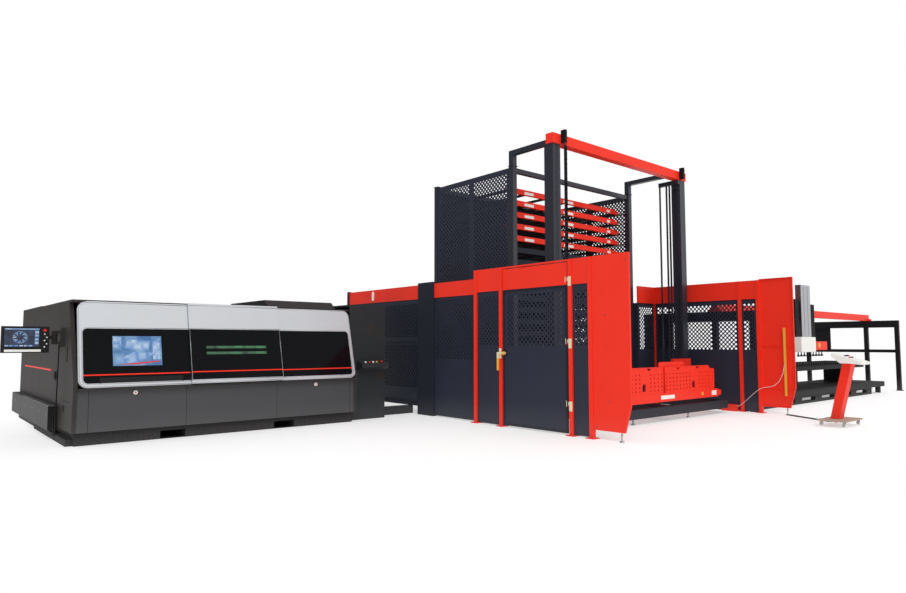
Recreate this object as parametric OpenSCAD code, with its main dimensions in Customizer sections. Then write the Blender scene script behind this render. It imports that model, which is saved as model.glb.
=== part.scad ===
// Laser cutting line: cutter, guard fence, storage tower with sheet lift, take-out loader and console.
// Millimetres. X runs along the line, Y away from the operator, Z up.
// The origin is on the floor under the end post of the left fence.

/* [Laser cutter] */
// X of the cutter's left side
cutter_x = -6700; // [-6800:10:-6500]
// Length of the cutter's front
cutter_len = 4980; // [4700:10:5000]
// Y of the lower front panels
cutter_y = 4480; // [4450:10:4500]
// Depth of the cutter's cabin
cutter_depth = 3020; // [2950:10:3200]
// Height of the cabin's side covers
cutter_h = 2200; // [2100:10:2400]
// Height of the lower front panels
skirt_top = 870; // [820:10:900]
// Height of the black plinth
plinth_h = 200; // [150:10:220]
// Depth of the silver front frame
frame_depth = 45; // [40:1:60]
// Height of the grey band over the glass
band_h = 434; // [380:2:480]
// Width of the silver rim round the glass
rim_w = 65; // [50:1:80]
// Radius of the silver frame's outer corners
frame_r = 130; // [100:5:150]
// Width of the sliding door
door_w = 1640; // [1500:10:1660]
// Length of the rear cabinet
cabinet_len = 2250; // [2000:10:2400]
// Length of the end cover
end_len = 870; // [800:10:900]
// Height of the end cover
end_h = 2340; // [2300:10:2450]
// Length of the slatted pallet
pallet_len = 3050; // [2800:10:3100]
// Width of the slatted pallet
pallet_w = 1525; // [1400:5:1550]

/* [Guard fence] */
// Height of the front fences
fence_h = 3000; // [2900:10:3200]
// Height of the red band on top of a fence
fence_band_h = 440; // [400:10:480]
// Side of a square fence post
post_w = 75; // [60:1:80]
// X of the right fence
right_x = 6060; // [6000:10:6200]
// Width of the gate leaf
gate_w = 1550; // [1450:2:1556]
// Spacing of the holes in a post's foot plate
foot_spacing = 120; // [110:1:125]
// Diameter of the holes in a foot plate
foot_hole_d = 14; // [12:1:16]
// Spacing of the holes in a perforated sheet
perf_pitch = 215; // [215:1:240]
// Diameter of the holes in a perforated sheet
perf_d = 95; // [60:1:100]

/* [Storage tower and lift] */
// Width of the tower along X
tower_w = 4300; // [4260:10:4340]
// Depth of the tower along Y
tower_d = 2650; // [2500:10:2800]
// Height of the tower
tower_h = 5310; // [5200:10:5500]
// Spacing of the trays
tray_pitch = 260; // [250:5:280]
// Height of a tray's beams
tray_h = 115; // [90:5:130]
// Height of the lift masts over the tower
mast_rise = 190; // [150:10:240]
// Height of the red top beam
top_beam_h = 200; // [160:10:240]
// Height of the carriage's front beam
lift_beam_h = 170; // [140:10:200]
// Height of the perforated front plates
plate_h = 520; // [450:10:560]

/* [Loader and console] */
// Length of the loader's platform
deck_len = 8940; // [8700:10:9000]
// Height of the platform
deck_h = 350; // [330:10:380]
// Height of the loader's rails
rail_h = 2300; // [2200:10:2500]
// Height of the console's column top
console_h = 1180; // [1100:10:1300]
// Width of the console's foot plate
console_w = 860; // [800:10:900]

/* [Hidden] */
$fn = 48;
seat = 0.3;
slit = 6;
// Pieces of the cutter
wall = 60;
plinth_reach = 50;
door_shift = 60;
skirt_t = 30;
cutter_x1 = cutter_x + cutter_len;
cutter_back = cutter_y + cutter_depth;
sill_t = 30;
lean_foot_y = cutter_y - 80;
lean_top_y = cutter_y + 260;
lean_top_z = cutter_h + 10;
lean = atan2(lean_top_y - lean_foot_y, lean_top_z - skirt_top);
lean_foot_z = skirt_top + frame_depth * sin(lean) + seat;
lean_len = (lean_top_z - lean_foot_z) / cos(lean);
frame_x0 = cutter_x + wall;
frame_x1 = cutter_x1 - wall;
door_x0 = frame_x0 + (frame_x1 - frame_x0 - door_w) / 2 + door_shift;
door_x1 = door_x0 + door_w;
door_t = 30;
rail_t = 12;
glass_t = 25;
glass_r = 70;
glass_fit = 0.5;
inner_x0 = frame_x0 + 50;
inner_x1 = frame_x1 - 50;
front_beam_y = lean_top_y + 55;
hinge_r = 15;
hatch_w = 690;
hatch_h = 440;
hatch_y = cutter_y + 80;
hatch_t = 30;
hatch_z = plinth_h + 12;
pin_gap = 0.05;
port_y0 = cutter_y + 400;
port_y1 = port_y0 + 1900;
port_z0 = 690;
port_z1 = 990;
button_z = 780;
button_xs = [cutter_x + 880, cutter_x1 - 905];
button_r = 12;
duct_w = 130;
duct_y = cutter_y + 1120;
duct_z0 = 150;
duct_z1 = 540;
arm_y = cutter_y + 970;
arm_x = cutter_x - 110;
arm_z = 1650;
panel_x0 = cutter_x - 840;
panel_x1 = cutter_x - 210;
panel_y = arm_y - 200;
panel_t = 100;
tilt_x = arm_x - 400;
cable_r = 9;
hmi_cable_path = [
    [-6760, 5330, 1470], [-6760, 5330, 1400], [-6762, 5330, 1200], [-6764, 5330, 1000], [-6766, 5330, 800],
    [-6768, 5331, 600], [-6769, 5334, 400], [-6770, 5342, 260], [-6770, 5362, 160], [-6770, 5398, 96],
    [-6770, 5448, 72], [-6770, 5497, 94], [-6770, 5522, 150], [-6770, 5536, 220], [-6770, 5546, 290],
    [-6770, 5558, 335], [-6770, 5578, 350], [-6770, 5600, 350]];
// Pieces inside the cutter
bed_y0 = port_y0 + 50;
bed_wall = 120;
bed_y1 = port_y1 - 50;
bed_top = 1000;
bed_x0 = inner_x0 + 110;
bed_x1 = inner_x1 - 40;
ledge_z = 720;
pallet_x0 = cutter_x + 1300;
pallet_y0 = (bed_y0 + bed_y1 - pallet_w) / 2;
gantry_x0 = bed_x0 + 120;
gantry_w = 250;
gantry_h = 260;
carriage_w = 200;
head_x = gantry_x0 + gantry_w + seat + carriage_w / 2;
head_y = bed_y0 + 330;
// Fence
post_foot = foot_spacing + 50;
post_foot_t = 12;
sheet_t = 6;
band_t = 40;
band_z = fence_h - fence_band_h;
latch_post_y = 2100;
hinge_post_y = 417;
far_post_y = 2810;
barrel_r = 18;
sheet_z = 20;
gate_axis_y = hinge_post_y + post_w / 2 + barrel_r + 4;
gate_y0 = gate_axis_y + barrel_r + 6;
gate_y1 = gate_y0 + gate_w;
gate_t = 30;
gate_z0 = 30;
top_rail_h = 30;
gate_z1 = fence_h - top_rail_h - 15;
gate_pin_r = 10;
latch_pin_r = 10;
gate_hinge_zs = [500, 1560, band_z + 65];
gate_holes_h = 1070;
knuckle_h = 60;
latch_z = 1370;
latch_y = gate_y1 - 70;
end_depth = 760;
rear_x = 110;
rear_h = 2845;
rear_band = 310;
rear_ys = [far_post_y + sheet_t / 2, 4260, 4790, 7730];
rear_sill_z = 180;
hole_z = 1460;
rear_mid_z = 1570;
rear_hole_z = 560;
corner_y = 2660;
curtain_y = -560;
curtain_path = [
    [6019, -560, 1080], [6001, -560, 1080], [5988, -557, 1056], [5982, -546, 1000], [5980, -528, 900],
    [5980, -484, 798], [5980, -430, 710], [5980, -350, 636], [5980, -251, 596], [5980, -150, 580],
    [5980, -65, 562], [5980, 30, 506], [5980, 120, 430], [5980, 212, 344], [5980, 300, 262],
    [5980, 377, 196], [5980, 438, 146], [5980, 488, 120], [5980, 521, 120]];
curtain_cable_r = 6;
floor_box_y = 521;
// Tower and lift
tower_x = 1050;
tower_y = 2800;
tower_post = 120;
tower_x1 = tower_x + tower_w;
tower_y1 = tower_y + tower_d;
return_x = tower_x1 - 30;
tray_x0 = tower_x + tower_post + 12;
tray_x1 = tower_x1 - tower_post - 12;
tray_y0 = tower_y + 300;
tray_y1 = tower_y1 - tower_post - 40;
tray_top_z = tower_h - 480;
moving_trays = 5;
fixed_trays = 9;
runner_w = 70;
runner_t = 10;
seam = 2;
mast_w = 220;
mast_d = 230;
mast_y = 1570;
mast_xs = [tower_x - 135, tower_x1 + 210];
mast_h = tower_h + mast_rise;
rod_w = 32;
rod_ys = [mast_y + 234, mast_y + 314, mast_y + 494];
link_z = mast_h + 50;
link_h = 100;
lift_y = 510;
lift_x0 = 1200;
lift_x1 = 5120;
lift_z = 390;
arm_w = 120;
base_z0 = 110;
base_z1 = 290;
foot_r = 35;
// Loader
deck_y = 250;
deck_d = 1650;
rail_y0 = 120;
rail_y1 = 3000;
rail_w = 140;
rail_xs = [right_x + post_w / 2, 16300];
deck_x = rail_xs[0] + rail_w - 10;
bridge_y = 1000;
bridge_w = 160;
bridge_h = 200;
shoe_in = 20;
trolley_x = 9700;
trolley_w = 1360;
column_xs = [[0, 300], [440, 1050], [1080, 1360]];
column_tops = [2750, 3160, 2640];
head_xs = [70, 1020, 1870];
head_z = 1310;
head_h = 410;
cup_h = 120;
cups = 9;
table_x = 9400;
table_len = 5300;
table_z = 950;
// Console
console_x = 4520;
console_y = -2240;
console_d = 510;
console_z = 105;
console_lean = 12;
wheel_r = 38;

navy = [0.11, 0.12, 0.16];
charcoal = [0.17, 0.17, 0.18];
grey = [0.42, 0.43, 0.44];
silver = [0.75, 0.76, 0.78];
black = [0.05, 0.05, 0.06];
red = [0.92, 0.2, 0.14];
steel = [0.6, 0.6, 0.6];
yellow = [0.85, 0.65, 0.15];
white = [0.9, 0.9, 0.88];

// A box between two corners
module box(a, b) {
    translate(a) cube(b - a);
}

// A profile drawn in Y and Z, pulled along +X from x
module along_x(x, len) {
    translate([x, 0, 0]) rotate([90, 0, 90]) linear_extrude(len) children();
}

// A profile drawn in X and Z, pulled along +Y from y
module along_y(y, len) {
    translate([0, y + len, 0]) rotate([90, 0, 0]) linear_extrude(len) children();
}

// The leaning plane of the cutter's front: X as drawn, Y into the cabin, Z up the slope
module on_lean() {
    translate([0, lean_foot_y, lean_foot_z]) rotate([-lean, 0, 0]) children();
}

// A rectangle whose two left corners are round
module round_left(w, h, r) {
    translate([r, 0]) square([w - r, h]);
    translate([0, r]) square([w, h - 2 * r]);
    for (z = [r, h - r]) translate([r, z]) circle(r);
}

// A rectangle whose two top corners are round
module round_top(w, h, r) {
    square([w, h - r]);
    translate([r, 0]) square([w - 2 * r, h]);
    for (x = [r, w - r]) translate([x, h - r]) circle(r);
}

// A sheet with a staggered field of round holes between z0 and z1
module perforated(len, h, z0, z1, pitch = perf_pitch, d = perf_d) {
    cols = max(1, floor((len - d) / pitch));
    rows = max(1, floor((z1 - z0 - d) / pitch));
    step_x = (len - pitch * (cols - 1)) / 2;
    step_z = z0 + (z1 - z0 - pitch * (rows - 1)) / 2;
    difference() {
        square([len, h]);
        for (i = [0 : cols - 1], j = [0 : rows - 1]) {
            translate([step_x + i * pitch, step_z + j * pitch]) circle(d / 2, $fn = 24);
            if (i < cols - 1 && j < rows - 1)
                translate([step_x + (i + 0.5) * pitch, step_z + (j + 0.5) * pitch]) circle(d / 2, $fn = 24);
        }
    }
}

// Sweep of a round cord along points
function unit(v) = v / norm(v);
function heading(p, i) = unit(p[min(i + 1, len(p) - 1)] - p[max(i - 1, 0)]);
function side_of(t) = unit(cross(t, abs(t[0]) > 0.9 ? [0, 1, 0] : [1, 0, 0]));
module cord(path, r, sides = 10) {
    count = len(path);
    rings = [for (i = [0 : count - 1]) let (t = heading(path, i), u = side_of(t), v = cross(t, u))
        for (k = [0 : sides - 1]) path[i] + r * (cos(360 * k / sides) * u + sin(360 * k / sides) * v)];
    walls = [for (i = [0 : count - 2], k = [0 : sides - 1]) let (n = (k + 1) % sides)
        [i * sides + k, i * sides + n, (i + 1) * sides + n, (i + 1) * sides + k]];
    ends = [[for (k = [sides - 1 : -1 : 0]) k], [for (k = [0 : sides - 1]) (count - 1) * sides + k]];
    polyhedron(rings, concat([for (w = walls) [w[3], w[2], w[1], w[0]]],
        [for (e = ends) [for (k = [sides - 1 : -1 : 0]) e[k]]]), convexity = 6);
}

// Cutter: plinth with fork pockets
module machine_base() {
    color(black) difference() {
        union() {
            box([cutter_x + 50, cutter_y + 80, 0], [cutter_x1 - 50, cutter_back - 40, plinth_h]);
            box([cutter_x - plinth_reach, cutter_y + 150, 0],
                [cutter_x + 51, cutter_back - 40, duct_z0 - 50]);
        }
        for (x = [cutter_x + 1300, cutter_x1 - 1700])
            box([x, cutter_y, -1], [x + 400, cutter_back, plinth_h - 70]);
    }
}

// Cutter: welded inner frame that carries the covers
module machine_frame() {
    color(charcoal) {
        box([frame_x0, cutter_y + skirt_t, plinth_h], [frame_x1, cutter_y + 130, plinth_h + 80]);
        box([frame_x0, lean_foot_y + 5, skirt_top - sill_t], [frame_x1, front_beam_y + 100, skirt_top]);
        for (x = [inner_x0, inner_x1 - 100]) {
            box([x, front_beam_y, plinth_h], [x + 100, front_beam_y + 100, cutter_h]);
            box([x, cutter_back - 160, plinth_h], [x + 100, cutter_back - wall, cutter_h]);
            box([x, front_beam_y, cutter_h - 80], [x + 100, cutter_back - wall, cutter_h]);
            box([x, cutter_y + skirt_t, plinth_h], [x + 100, cutter_y + 130, skirt_top]);
        }
        box([inner_x0, front_beam_y, cutter_h - 100], [inner_x1, front_beam_y + 100, cutter_h]);
        box([inner_x0, cutter_back - 160, cutter_h - 100], [inner_x1, cutter_back - wall, cutter_h]);
    }
}

function cover_profile() = [[cutter_y, plinth_h], [cutter_y - 20, skirt_top + 70],
    [lean_top_y + 250, cutter_h],
    [cutter_back, cutter_h], [cutter_back, plinth_h]];

// Cutter: left side cover with the opening for the service hatch
module side_cover() {
    hatch_axis = [cutter_x + hinge_r, hatch_y + hinge_r, 0];
    color(charcoal) difference() {
        along_x(cutter_x, wall) polygon(cover_profile());
        box([cutter_x - 1, hatch_y - 4, hatch_z - 4],
            [cutter_x + wall + 1, hatch_y + hatch_w + 4, hatch_z + hatch_h + 4]);
        translate(hatch_axis + [0, 0, hatch_z - 40]) cylinder(hatch_h + 80, r = 6 + pin_gap);
        for (y = [cutter_y + 1230, cutter_y + 2930])
            box([cutter_x - 1, y, plinth_h - 1], [cutter_x + 8, y + 8, cutter_h + 1]);
        box([cutter_x - 1, cutter_y + 480, 1270], [cutter_x + 30, cutter_y + 560, 1500]);
    }
}

// Cutter: service hatch, hinged at its front edge
module side_hatch() {
    axis = [cutter_x + hinge_r, hatch_y + hinge_r, 0];
    color(charcoal) {
        difference() {
            union() {
                box([cutter_x, hatch_y + hinge_r, hatch_z],
                    [cutter_x + hatch_t, hatch_y + hatch_w, hatch_z + hatch_h]);
                translate(axis + [0, 0, hatch_z]) cylinder(hatch_h, r = hinge_r);
            }
            box([cutter_x - 1, hatch_y + hatch_w - 150, hatch_z + 270],
                [cutter_x + 18, hatch_y + hatch_w - 60, hatch_z + 330]);
        }
        translate(axis + [0, 0, hatch_z - 24]) cylinder(hatch_h + 48, r = 6);
    }
}

// Cutter: lower front panels between corner strips
module skirt_panels() {
    edges = [frame_x0, frame_x0 + 160, cutter_x + 1680, cutter_x1 - 1690, frame_x1 - 90, frame_x1];
    z1 = skirt_top - sill_t;
    color(grey) difference() {
        for (i = [0 : len(edges) - 2])
            box([edges[i] + (i == 0 ? 0 : slit / 2), cutter_y, plinth_h],
                [edges[i + 1] - (i == len(edges) - 2 ? 0 : slit / 2), cutter_y + skirt_t, z1]);
        for (x = button_xs)
            translate([x, cutter_y - 1, button_z]) rotate([-90, 0, 0]) cylinder(skirt_t + 2,
                r = button_r + pin_gap);
    }
}

module button(r, cap_r, stem, cap) {
    cylinder(stem, r = r);
    translate([0, 0, stem]) cylinder(cap * 0.6, r = cap_r);
    translate([0, 0, stem + cap * 0.6]) cylinder(cap * 0.4, r1 = cap_r, r2 = cap_r * 0.85);
}

module front_button(i) {
    color(red) translate([button_xs[i], cutter_y + skirt_t - 2, button_z]) rotate([90, 0, 0])
        button(button_r, 34, skirt_t + 4, 14);
}

module front_button_left() {
    front_button(0);
}

module front_button_right() {
    front_button(1);
}

module half_frame(w) {
    difference() {
        round_left(w, lean_len, frame_r);
        translate([rim_w, rim_w]) round_left(w, lean_len - rim_w - band_h, glass_r);
    }
}

module half_glass(w) {
    translate([rim_w + glass_fit, rim_w + glass_fit])
        round_left(w - rim_w - glass_fit, lean_len - rim_w - band_h - 2 * glass_fit, glass_r);
}

left_w = door_x0 - frame_x0 - slit / 2;
right_w = frame_x1 - door_x1 - slit / 2;

// Cutter: fixed silver front frames beside the door
module front_frame_left() {
    color(silver) on_lean() {
        along_y(0, frame_depth) translate([frame_x0, 0]) half_frame(left_w);
        box([frame_x0 + frame_r, 8, lean_len], [door_x1, 28, lean_len + rail_t]);
    }
}

module front_frame_right() {
    color(silver) on_lean() along_y(0,
        frame_depth) translate([frame_x1, 0]) mirror([1, 0]) half_frame(right_w);
}

module front_glass() {
    color(black) on_lean() {
        along_y(4, glass_t) translate([frame_x0, 0]) half_glass(left_w);
        along_y(4, glass_t) translate([frame_x1, 0]) mirror([1, 0]) half_glass(right_w);
    }
}

// Cutter: sliding door, hung on the rail along the top of the left frame
module door_frame() {
    color(silver) on_lean() {
        along_y(-slit - door_t, door_t) translate([door_x0, 0]) difference() {
            square([door_w, lean_len]);
            translate([-1, rim_w]) square([door_w + 2, lean_len - rim_w - band_h]);
        }
        for (x = [door_x0 + slit / 2, door_x1 - slit / 2 - 20])
            box([x, -slit - 10, rim_w], [x + 20, -slit, lean_len - band_h]);
        box([door_x0, -slit - door_t, lean_len], [door_x1, -slit, lean_len + rail_t + seat]);
        box([door_x0, -slit - door_t, lean_len + rail_t + seat], [door_x1, 28, lean_len + rail_t + 12]);
    }
}

module door_glass() {
    color(black) on_lean() along_y(-slit - door_t + 3, 15)
        translate([door_x0, rim_w + glass_fit]) square([door_w, lean_len - rim_w - band_h - 2 * glass_fit]);
}

// Cutter: roof with its raised hood
module roof_cover() {
    hood_x0 = cutter_x1 - 1500;
    color(charcoal) difference() {
        union() {
            box([cutter_x, lean_top_y + 60, cutter_h], [cutter_x1, cutter_back, cutter_h + 40]);
            along_x(hood_x0, cutter_x1 - hood_x0) polygon([[lean_top_y + 560, cutter_h + 40],
                [lean_top_y + 760, cutter_h + 210], [cutter_back - 300, cutter_h + 210],
                    [cutter_back - 200, cutter_h + 40]]);
        }
        for (x = [cutter_x + 1680, cutter_x1 - 1690])
            box([x, cutter_y, cutter_h + 32], [x + 8, cutter_back + 1, cutter_h + 41]);
    }
}

module back_wall() {
    color(charcoal) box([frame_x0, cutter_back - wall, plinth_h], [frame_x1, cutter_back, cutter_h]);
}

// Cutter: right-hand wall with the pallet port
module end_wall() {
    color(charcoal) difference() {
        along_x(cutter_x1 - wall, wall) polygon(cover_profile());
        box([cutter_x1 - wall - 1, port_y0, port_z0], [cutter_x1 + 1, port_y1, port_z1]);
    }
}

// Cutter: dark end cover round the pallet port, with its control shelf
module end_cover() {
    skin = 40;
    x1 = cutter_x1 + end_len;
    y0 = lean_top_y + 10;
    y1 = port_y1 + 100;
    shelf_z = 1120;
    color(navy) {
        for (y = [port_y0 + 200, port_y1 - 280]) box([x1 - skin, y, 0], [rear_x + 40, y + 80, rear_sill_z]);
        difference() {
            box([cutter_x1, y0, 0], [x1, y1, end_h]);
            box([cutter_x1 - 1, y0 + skin, 120], [x1 - skin, y1 - skin, end_h - skin]);
            box([cutter_x1, port_y0, port_z0], [x1 + 1, port_y1, port_z1]);
            box([cutter_x1 + 200, y0 - 1, 1500], [x1 + 1, y0 + 6, 1508]);
        }
        difference() {
            along_x(cutter_x1 + 180, end_len - 230) polygon([[y0, shelf_z - 130], [y0 - 200, shelf_z - 60],
                [y0 - 215, shelf_z], [y0, shelf_z + 90]]);
            shelf_place() translate([0, 0, -40]) cylinder(60, r = button_r + pin_gap);
        }
    }
}

module shelf_place() {
    y0 = lean_top_y + 10;
    translate([cutter_x1 + end_len - 160, y0 - 110, 1120 + 43.9]) rotate([atan2(90, 215), 0, 0]) children();
}

module shelf_button() {
    color(red) shelf_place() translate([0, 0, -30]) button(button_r, 26, 36, 22);
}

// Cutter: cabinet for the laser source and chiller
module rear_cabinet() {
    y1 = cutter_back + cabinet_len;
    x1 = cutter_x + 2400;
    color(charcoal) difference() {
        box([cutter_x, cutter_back, 0], [x1, y1, cutter_h + 50]);
        box([cutter_x - 1, cutter_back - 1, -1], [x1 + 1, cutter_back + 20, 80]);
        for (y = [cutter_back + cabinet_len * 0.35, cutter_back + cabinet_len * 0.7])
            box([cutter_x - 1, y, 80], [cutter_x + 8, y + 8, cutter_h + 51]);
        for (x = [cutter_x + 800, cutter_x + 1600])
            box([x, y1 - 8, 80], [x + 8, y1 + 1, cutter_h + 51]);
        for (i = [0 : 7])
            box([cutter_x + 950, y1 - 20, 300 + i * 60], [cutter_x + 1450, y1 + 1, 330 + i * 60]);
    }
}

// Cutter: low duct along the left side
module duct_box() {
    color(grey) difference() {
        box([cutter_x - duct_w, duct_y, duct_z0], [cutter_x, cutter_back + cabinet_len, duct_z1]);
        for (i = [1 : 3])
            box([cutter_x - duct_w - 1, duct_y + i * 1000, duct_z0 - 1],
                [cutter_x - duct_w + 6, duct_y + i * 1000 + 8, duct_z1 + 1]);
    }
}

// Operator panel: wall bracket with two lugs and the cable gland
module hmi_bracket() {
    color(charcoal) {
        box([cutter_x - 40, arm_y - 150, arm_z - 150], [cutter_x, arm_y + 120, arm_z + 150]);
        for (z = [arm_z - 110, arm_z + 70]) difference() {
            union() {
                box([arm_x, arm_y - 45, z], [cutter_x - 40, arm_y + 45, z + 40]);
                translate([arm_x, arm_y, z]) cylinder(40, r = 45);
            }
            translate([arm_x, arm_y, z - 1]) cylinder(42, r = 20);
        }
        translate([hmi_cable_path[0][0], hmi_cable_path[0][1], hmi_cable_path[0][2]]) cylinder(60, r = 16);
        box([cutter_x - 80, arm_y - 150, arm_z - 130], [cutter_x - 40, arm_y - 90, arm_z - 80]);
    }
}

module hmi_arm() {
    color(charcoal) {
        translate([arm_x, arm_y, arm_z - 110]) cylinder(220, r = 20 - pin_gap);
        translate([arm_x, arm_y, arm_z - 70 + seat]) cylinder(140 - 2 * seat, r = 45);
        box([tilt_x + 10, arm_y - 25, arm_z - 30], [arm_x, arm_y + 25, arm_z + 30]);
        translate([tilt_x - 75, arm_y, arm_z]) rotate([0, 90, 0]) cylinder(90, r = 15 - pin_gap);
    }
}

module hmi_panel() {
    x_lugs = [tilt_x - 65, tilt_x - 25];
    color(black) difference() {
        union() {
            box([panel_x0, panel_y, arm_z - 240], [panel_x1, panel_y + panel_t, arm_z + 170]);
            for (x = x_lugs) {
                box([x, panel_y + panel_t, arm_z - 30], [x + 20, arm_y, arm_z + 30]);
                translate([x, arm_y, arm_z]) rotate([0, 90, 0]) cylinder(20, r = 30);
            }
        }
        for (x = x_lugs) translate([x - 1, arm_y, arm_z]) rotate([0, 90, 0]) cylinder(22, r = 15);
        box([panel_x0 + 30, panel_y - 1, arm_z - 150], [panel_x1 - 130, panel_y + 6, arm_z + 145]);
        translate([panel_x1 - 65, panel_y - 1, arm_z + 110]) rotate([-90, 0, 0]) cylinder(60,
            r = button_r + pin_gap);
    }
}

module hmi_button() {
    color(red) translate([panel_x1 - 65, panel_y + 40, arm_z + 110]) rotate([90, 0, 0]) button(button_r,
        24, 46, 22);
}

module hmi_cable() {
    color(black) cord(hmi_cable_path, cable_r);
}

// Inside the cutter: bed with two rails and pallet ledges
module machine_bed() {
    color(steel) {
        box([bed_x0, bed_y0, plinth_h], [bed_x1, bed_y1, plinth_h + 100]);
        for (y = [bed_y0, bed_y1 - bed_wall])
            box([bed_x0, y, plinth_h], [bed_x1, y + bed_wall, bed_top]);
        box([bed_x0, bed_y0 + bed_wall, ledge_z - 60], [bed_x1, pallet_y0 + 80, ledge_z]);
        box([bed_x0, pallet_y0 + pallet_w - 80, ledge_z - 60], [bed_x1, bed_y1 - bed_wall, ledge_z]);
    }
}

// Inside the cutter: pallet with toothed slats
module pallet() {
    rail = 60;
    rail_z = 80;
    slat_t = 6;
    slat_z = [20, 110, 130];
    slat_pitch = 150;
    slats = floor((pallet_len - 2 * rail) / slat_pitch) - 1;
    teeth = 20;
    span = pallet_w - 2 * rail;
    color(steel) translate([pallet_x0, pallet_y0, ledge_z + seat]) {
        for (y = [0, pallet_w - rail]) translate([0, y, 0]) cube([pallet_len, rail, rail_z]);
        for (x = [0, pallet_len - rail]) translate([x, 0, 0]) cube([rail, pallet_w, rail_z]);
        for (i = [0 : slats]) along_x(rail + (i + 0.5) * slat_pitch, slat_t)
            polygon(concat([[rail, slat_z[0]]],
                [for (k = [0 : teeth]) [rail + k * span / teeth, slat_z[1 + k % 2]]],
                [[pallet_w - rail, slat_z[0]]]));
    }
}

// Inside the cutter: gantry beam on the bed rails
module gantry_beam() {
    z0 = bed_top + seat;
    color(silver) difference() {
        box([gantry_x0, bed_y0, z0], [gantry_x0 + gantry_w, bed_y1, z0 + gantry_h]);
        box([gantry_x0 + 40, bed_y0 - 1, z0 + 60],
            [gantry_x0 + gantry_w - 40, bed_y1 + 1, z0 + gantry_h - 40]);
    }
}

module head_carriage() {
    z0 = bed_top + 20;
    color(charcoal) difference() {
        box([head_x - carriage_w / 2, head_y - 150, z0], [head_x + carriage_w / 2, head_y + 150, z0 + 330]);
        translate([head_x, head_y, z0 - 1]) cylinder(340, r = 55);
    }
}

// Inside the cutter: cutting head with its nozzle
module cutting_head() {
    z0 = bed_top - 70;
    color(steel) translate([head_x, head_y, z0]) rotate_extrude()
        polygon([[0, 0], [6, 0], [24, 60], [40, 80], [55 - seat, 110], [55 - seat, 520], [35, 560],
            [0, 560]]);
}

// Fence: square posts with drilled foot plates
module fence_post(x, y, h) {
    difference() {
        union() {
            box([x - post_w / 2, y - post_w / 2, 0], [x + post_w / 2, y + post_w / 2, h]);
            box([x - post_foot / 2, y - post_foot / 2, 0],
                [x + post_foot / 2, y + post_foot / 2, post_foot_t]);
        }
        for (i = [-1, 1], j = [-1, 1])
            translate([x + i * foot_spacing / 2, y + j * foot_spacing / 2,
                -1]) cylinder(post_foot_t + 2, d = foot_hole_d);
    }
}

module gate_knuckle(z) {
    translate([0, 0, z - knuckle_h]) difference() {
        union() {
            translate([0, gate_axis_y, 0]) cylinder(knuckle_h, r = barrel_r);
            box([-12, hinge_post_y + post_w / 2, 0], [12, gate_axis_y, knuckle_h]);
        }
        translate([0, gate_axis_y, -1]) cylinder(knuckle_h + 2, r = gate_pin_r + pin_gap);
    }
}

module fence_posts() {
    color(red) {
        for (y = [far_post_y, latch_post_y, hinge_post_y, 0]) fence_post(0, y, fence_h);
        for (z = gate_hinge_zs) gate_knuckle(z);
        for (y = [corner_y, hinge_post_y, 0]) fence_post(right_x, y, fence_h - 20);
        box([right_x - 130, floor_box_y, 0], [right_x - sheet_t / 2, floor_box_y + 350, 150]);
    }
}

// Fence: red bands along the top
module fence_bands() {
    half = band_t / 2;
    color(red) {
        for (span = [[0, hinge_post_y], [latch_post_y, far_post_y]])
            box([-half, span[0] + post_w / 2, band_z], [half, span[1] - post_w / 2, fence_h]);
        box([-half, hinge_post_y + post_w / 2, fence_h - top_rail_h],
            [half, latch_post_y - post_w / 2, fence_h]);
        for (i = [0, 2])
            box([rear_x - half, rear_ys[i], rear_h - rear_band], [rear_x + half, rear_ys[i + 1], rear_h]);
        box([right_x - half, hinge_post_y + post_w / 2, band_z],
            [right_x + half, corner_y - post_w / 2, fence_h - 20]);
        box([right_x - half, post_w / 2, band_z],
            [right_x + half, hinge_post_y - post_w / 2, fence_h - 20]);
        box([return_x, corner_y - half, band_z], [right_x - post_w / 2, corner_y + half, fence_h - 20]);
    }
}

// Fence: dark sheets beside the gate
module fence_sheets_left() {
    color(navy) for (span = [[latch_post_y, far_post_y], [0, hinge_post_y]]) {
        y0 = span[0] + post_w / 2;
        len = span[1] - span[0] - post_w;
        along_x(-sheet_t / 2, sheet_t) translate([y0, sheet_z])
            perforated(len, band_z - sheet_z, hole_z - sheet_z, band_z - sheet_z - 40, 120, 60);
    }
    color(navy) box([post_w / 2, far_post_y - sheet_t / 2, sheet_z],
        [tower_x, far_post_y + sheet_t / 2, hole_z]);
}

// Fence: sheets and column behind the cutter's outlet
module fence_sheets_rear() {
    z0 = sheet_z;
    top = rear_h - rear_band;
    color(navy) {
        along_x(rear_x - sheet_t / 2, sheet_t) translate([rear_ys[0], z0])
            perforated(rear_ys[1] - rear_ys[0], top - z0, 1200 - z0, top - z0);
        along_x(rear_x - sheet_t / 2, sheet_t) translate([rear_ys[2], rear_sill_z])
            perforated(rear_ys[3] - rear_ys[2], rear_mid_z - rear_sill_z, rear_hole_z - rear_sill_z,
                rear_mid_z - rear_sill_z - 40);
        box([rear_x - 15, rear_ys[2], rear_mid_z], [rear_x + 15, rear_ys[3], top]);
        box([rear_x - 60, rear_ys[1], 0], [rear_x + 60, rear_ys[2], rear_h + 40]);
        box([rear_x - 40, rear_ys[3], 0], [rear_x + 40, rear_ys[3] + 80, rear_h + 20]);
        box([rear_x - 40, rear_ys[2], rear_sill_z], [rear_x + 40, rear_ys[3], rear_sill_z + 80]);
        box([rear_x + 40 - sheet_t, rear_ys[2], rear_sill_z], [rear_x + 40, rear_ys[3], top]);
    }
}

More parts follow.
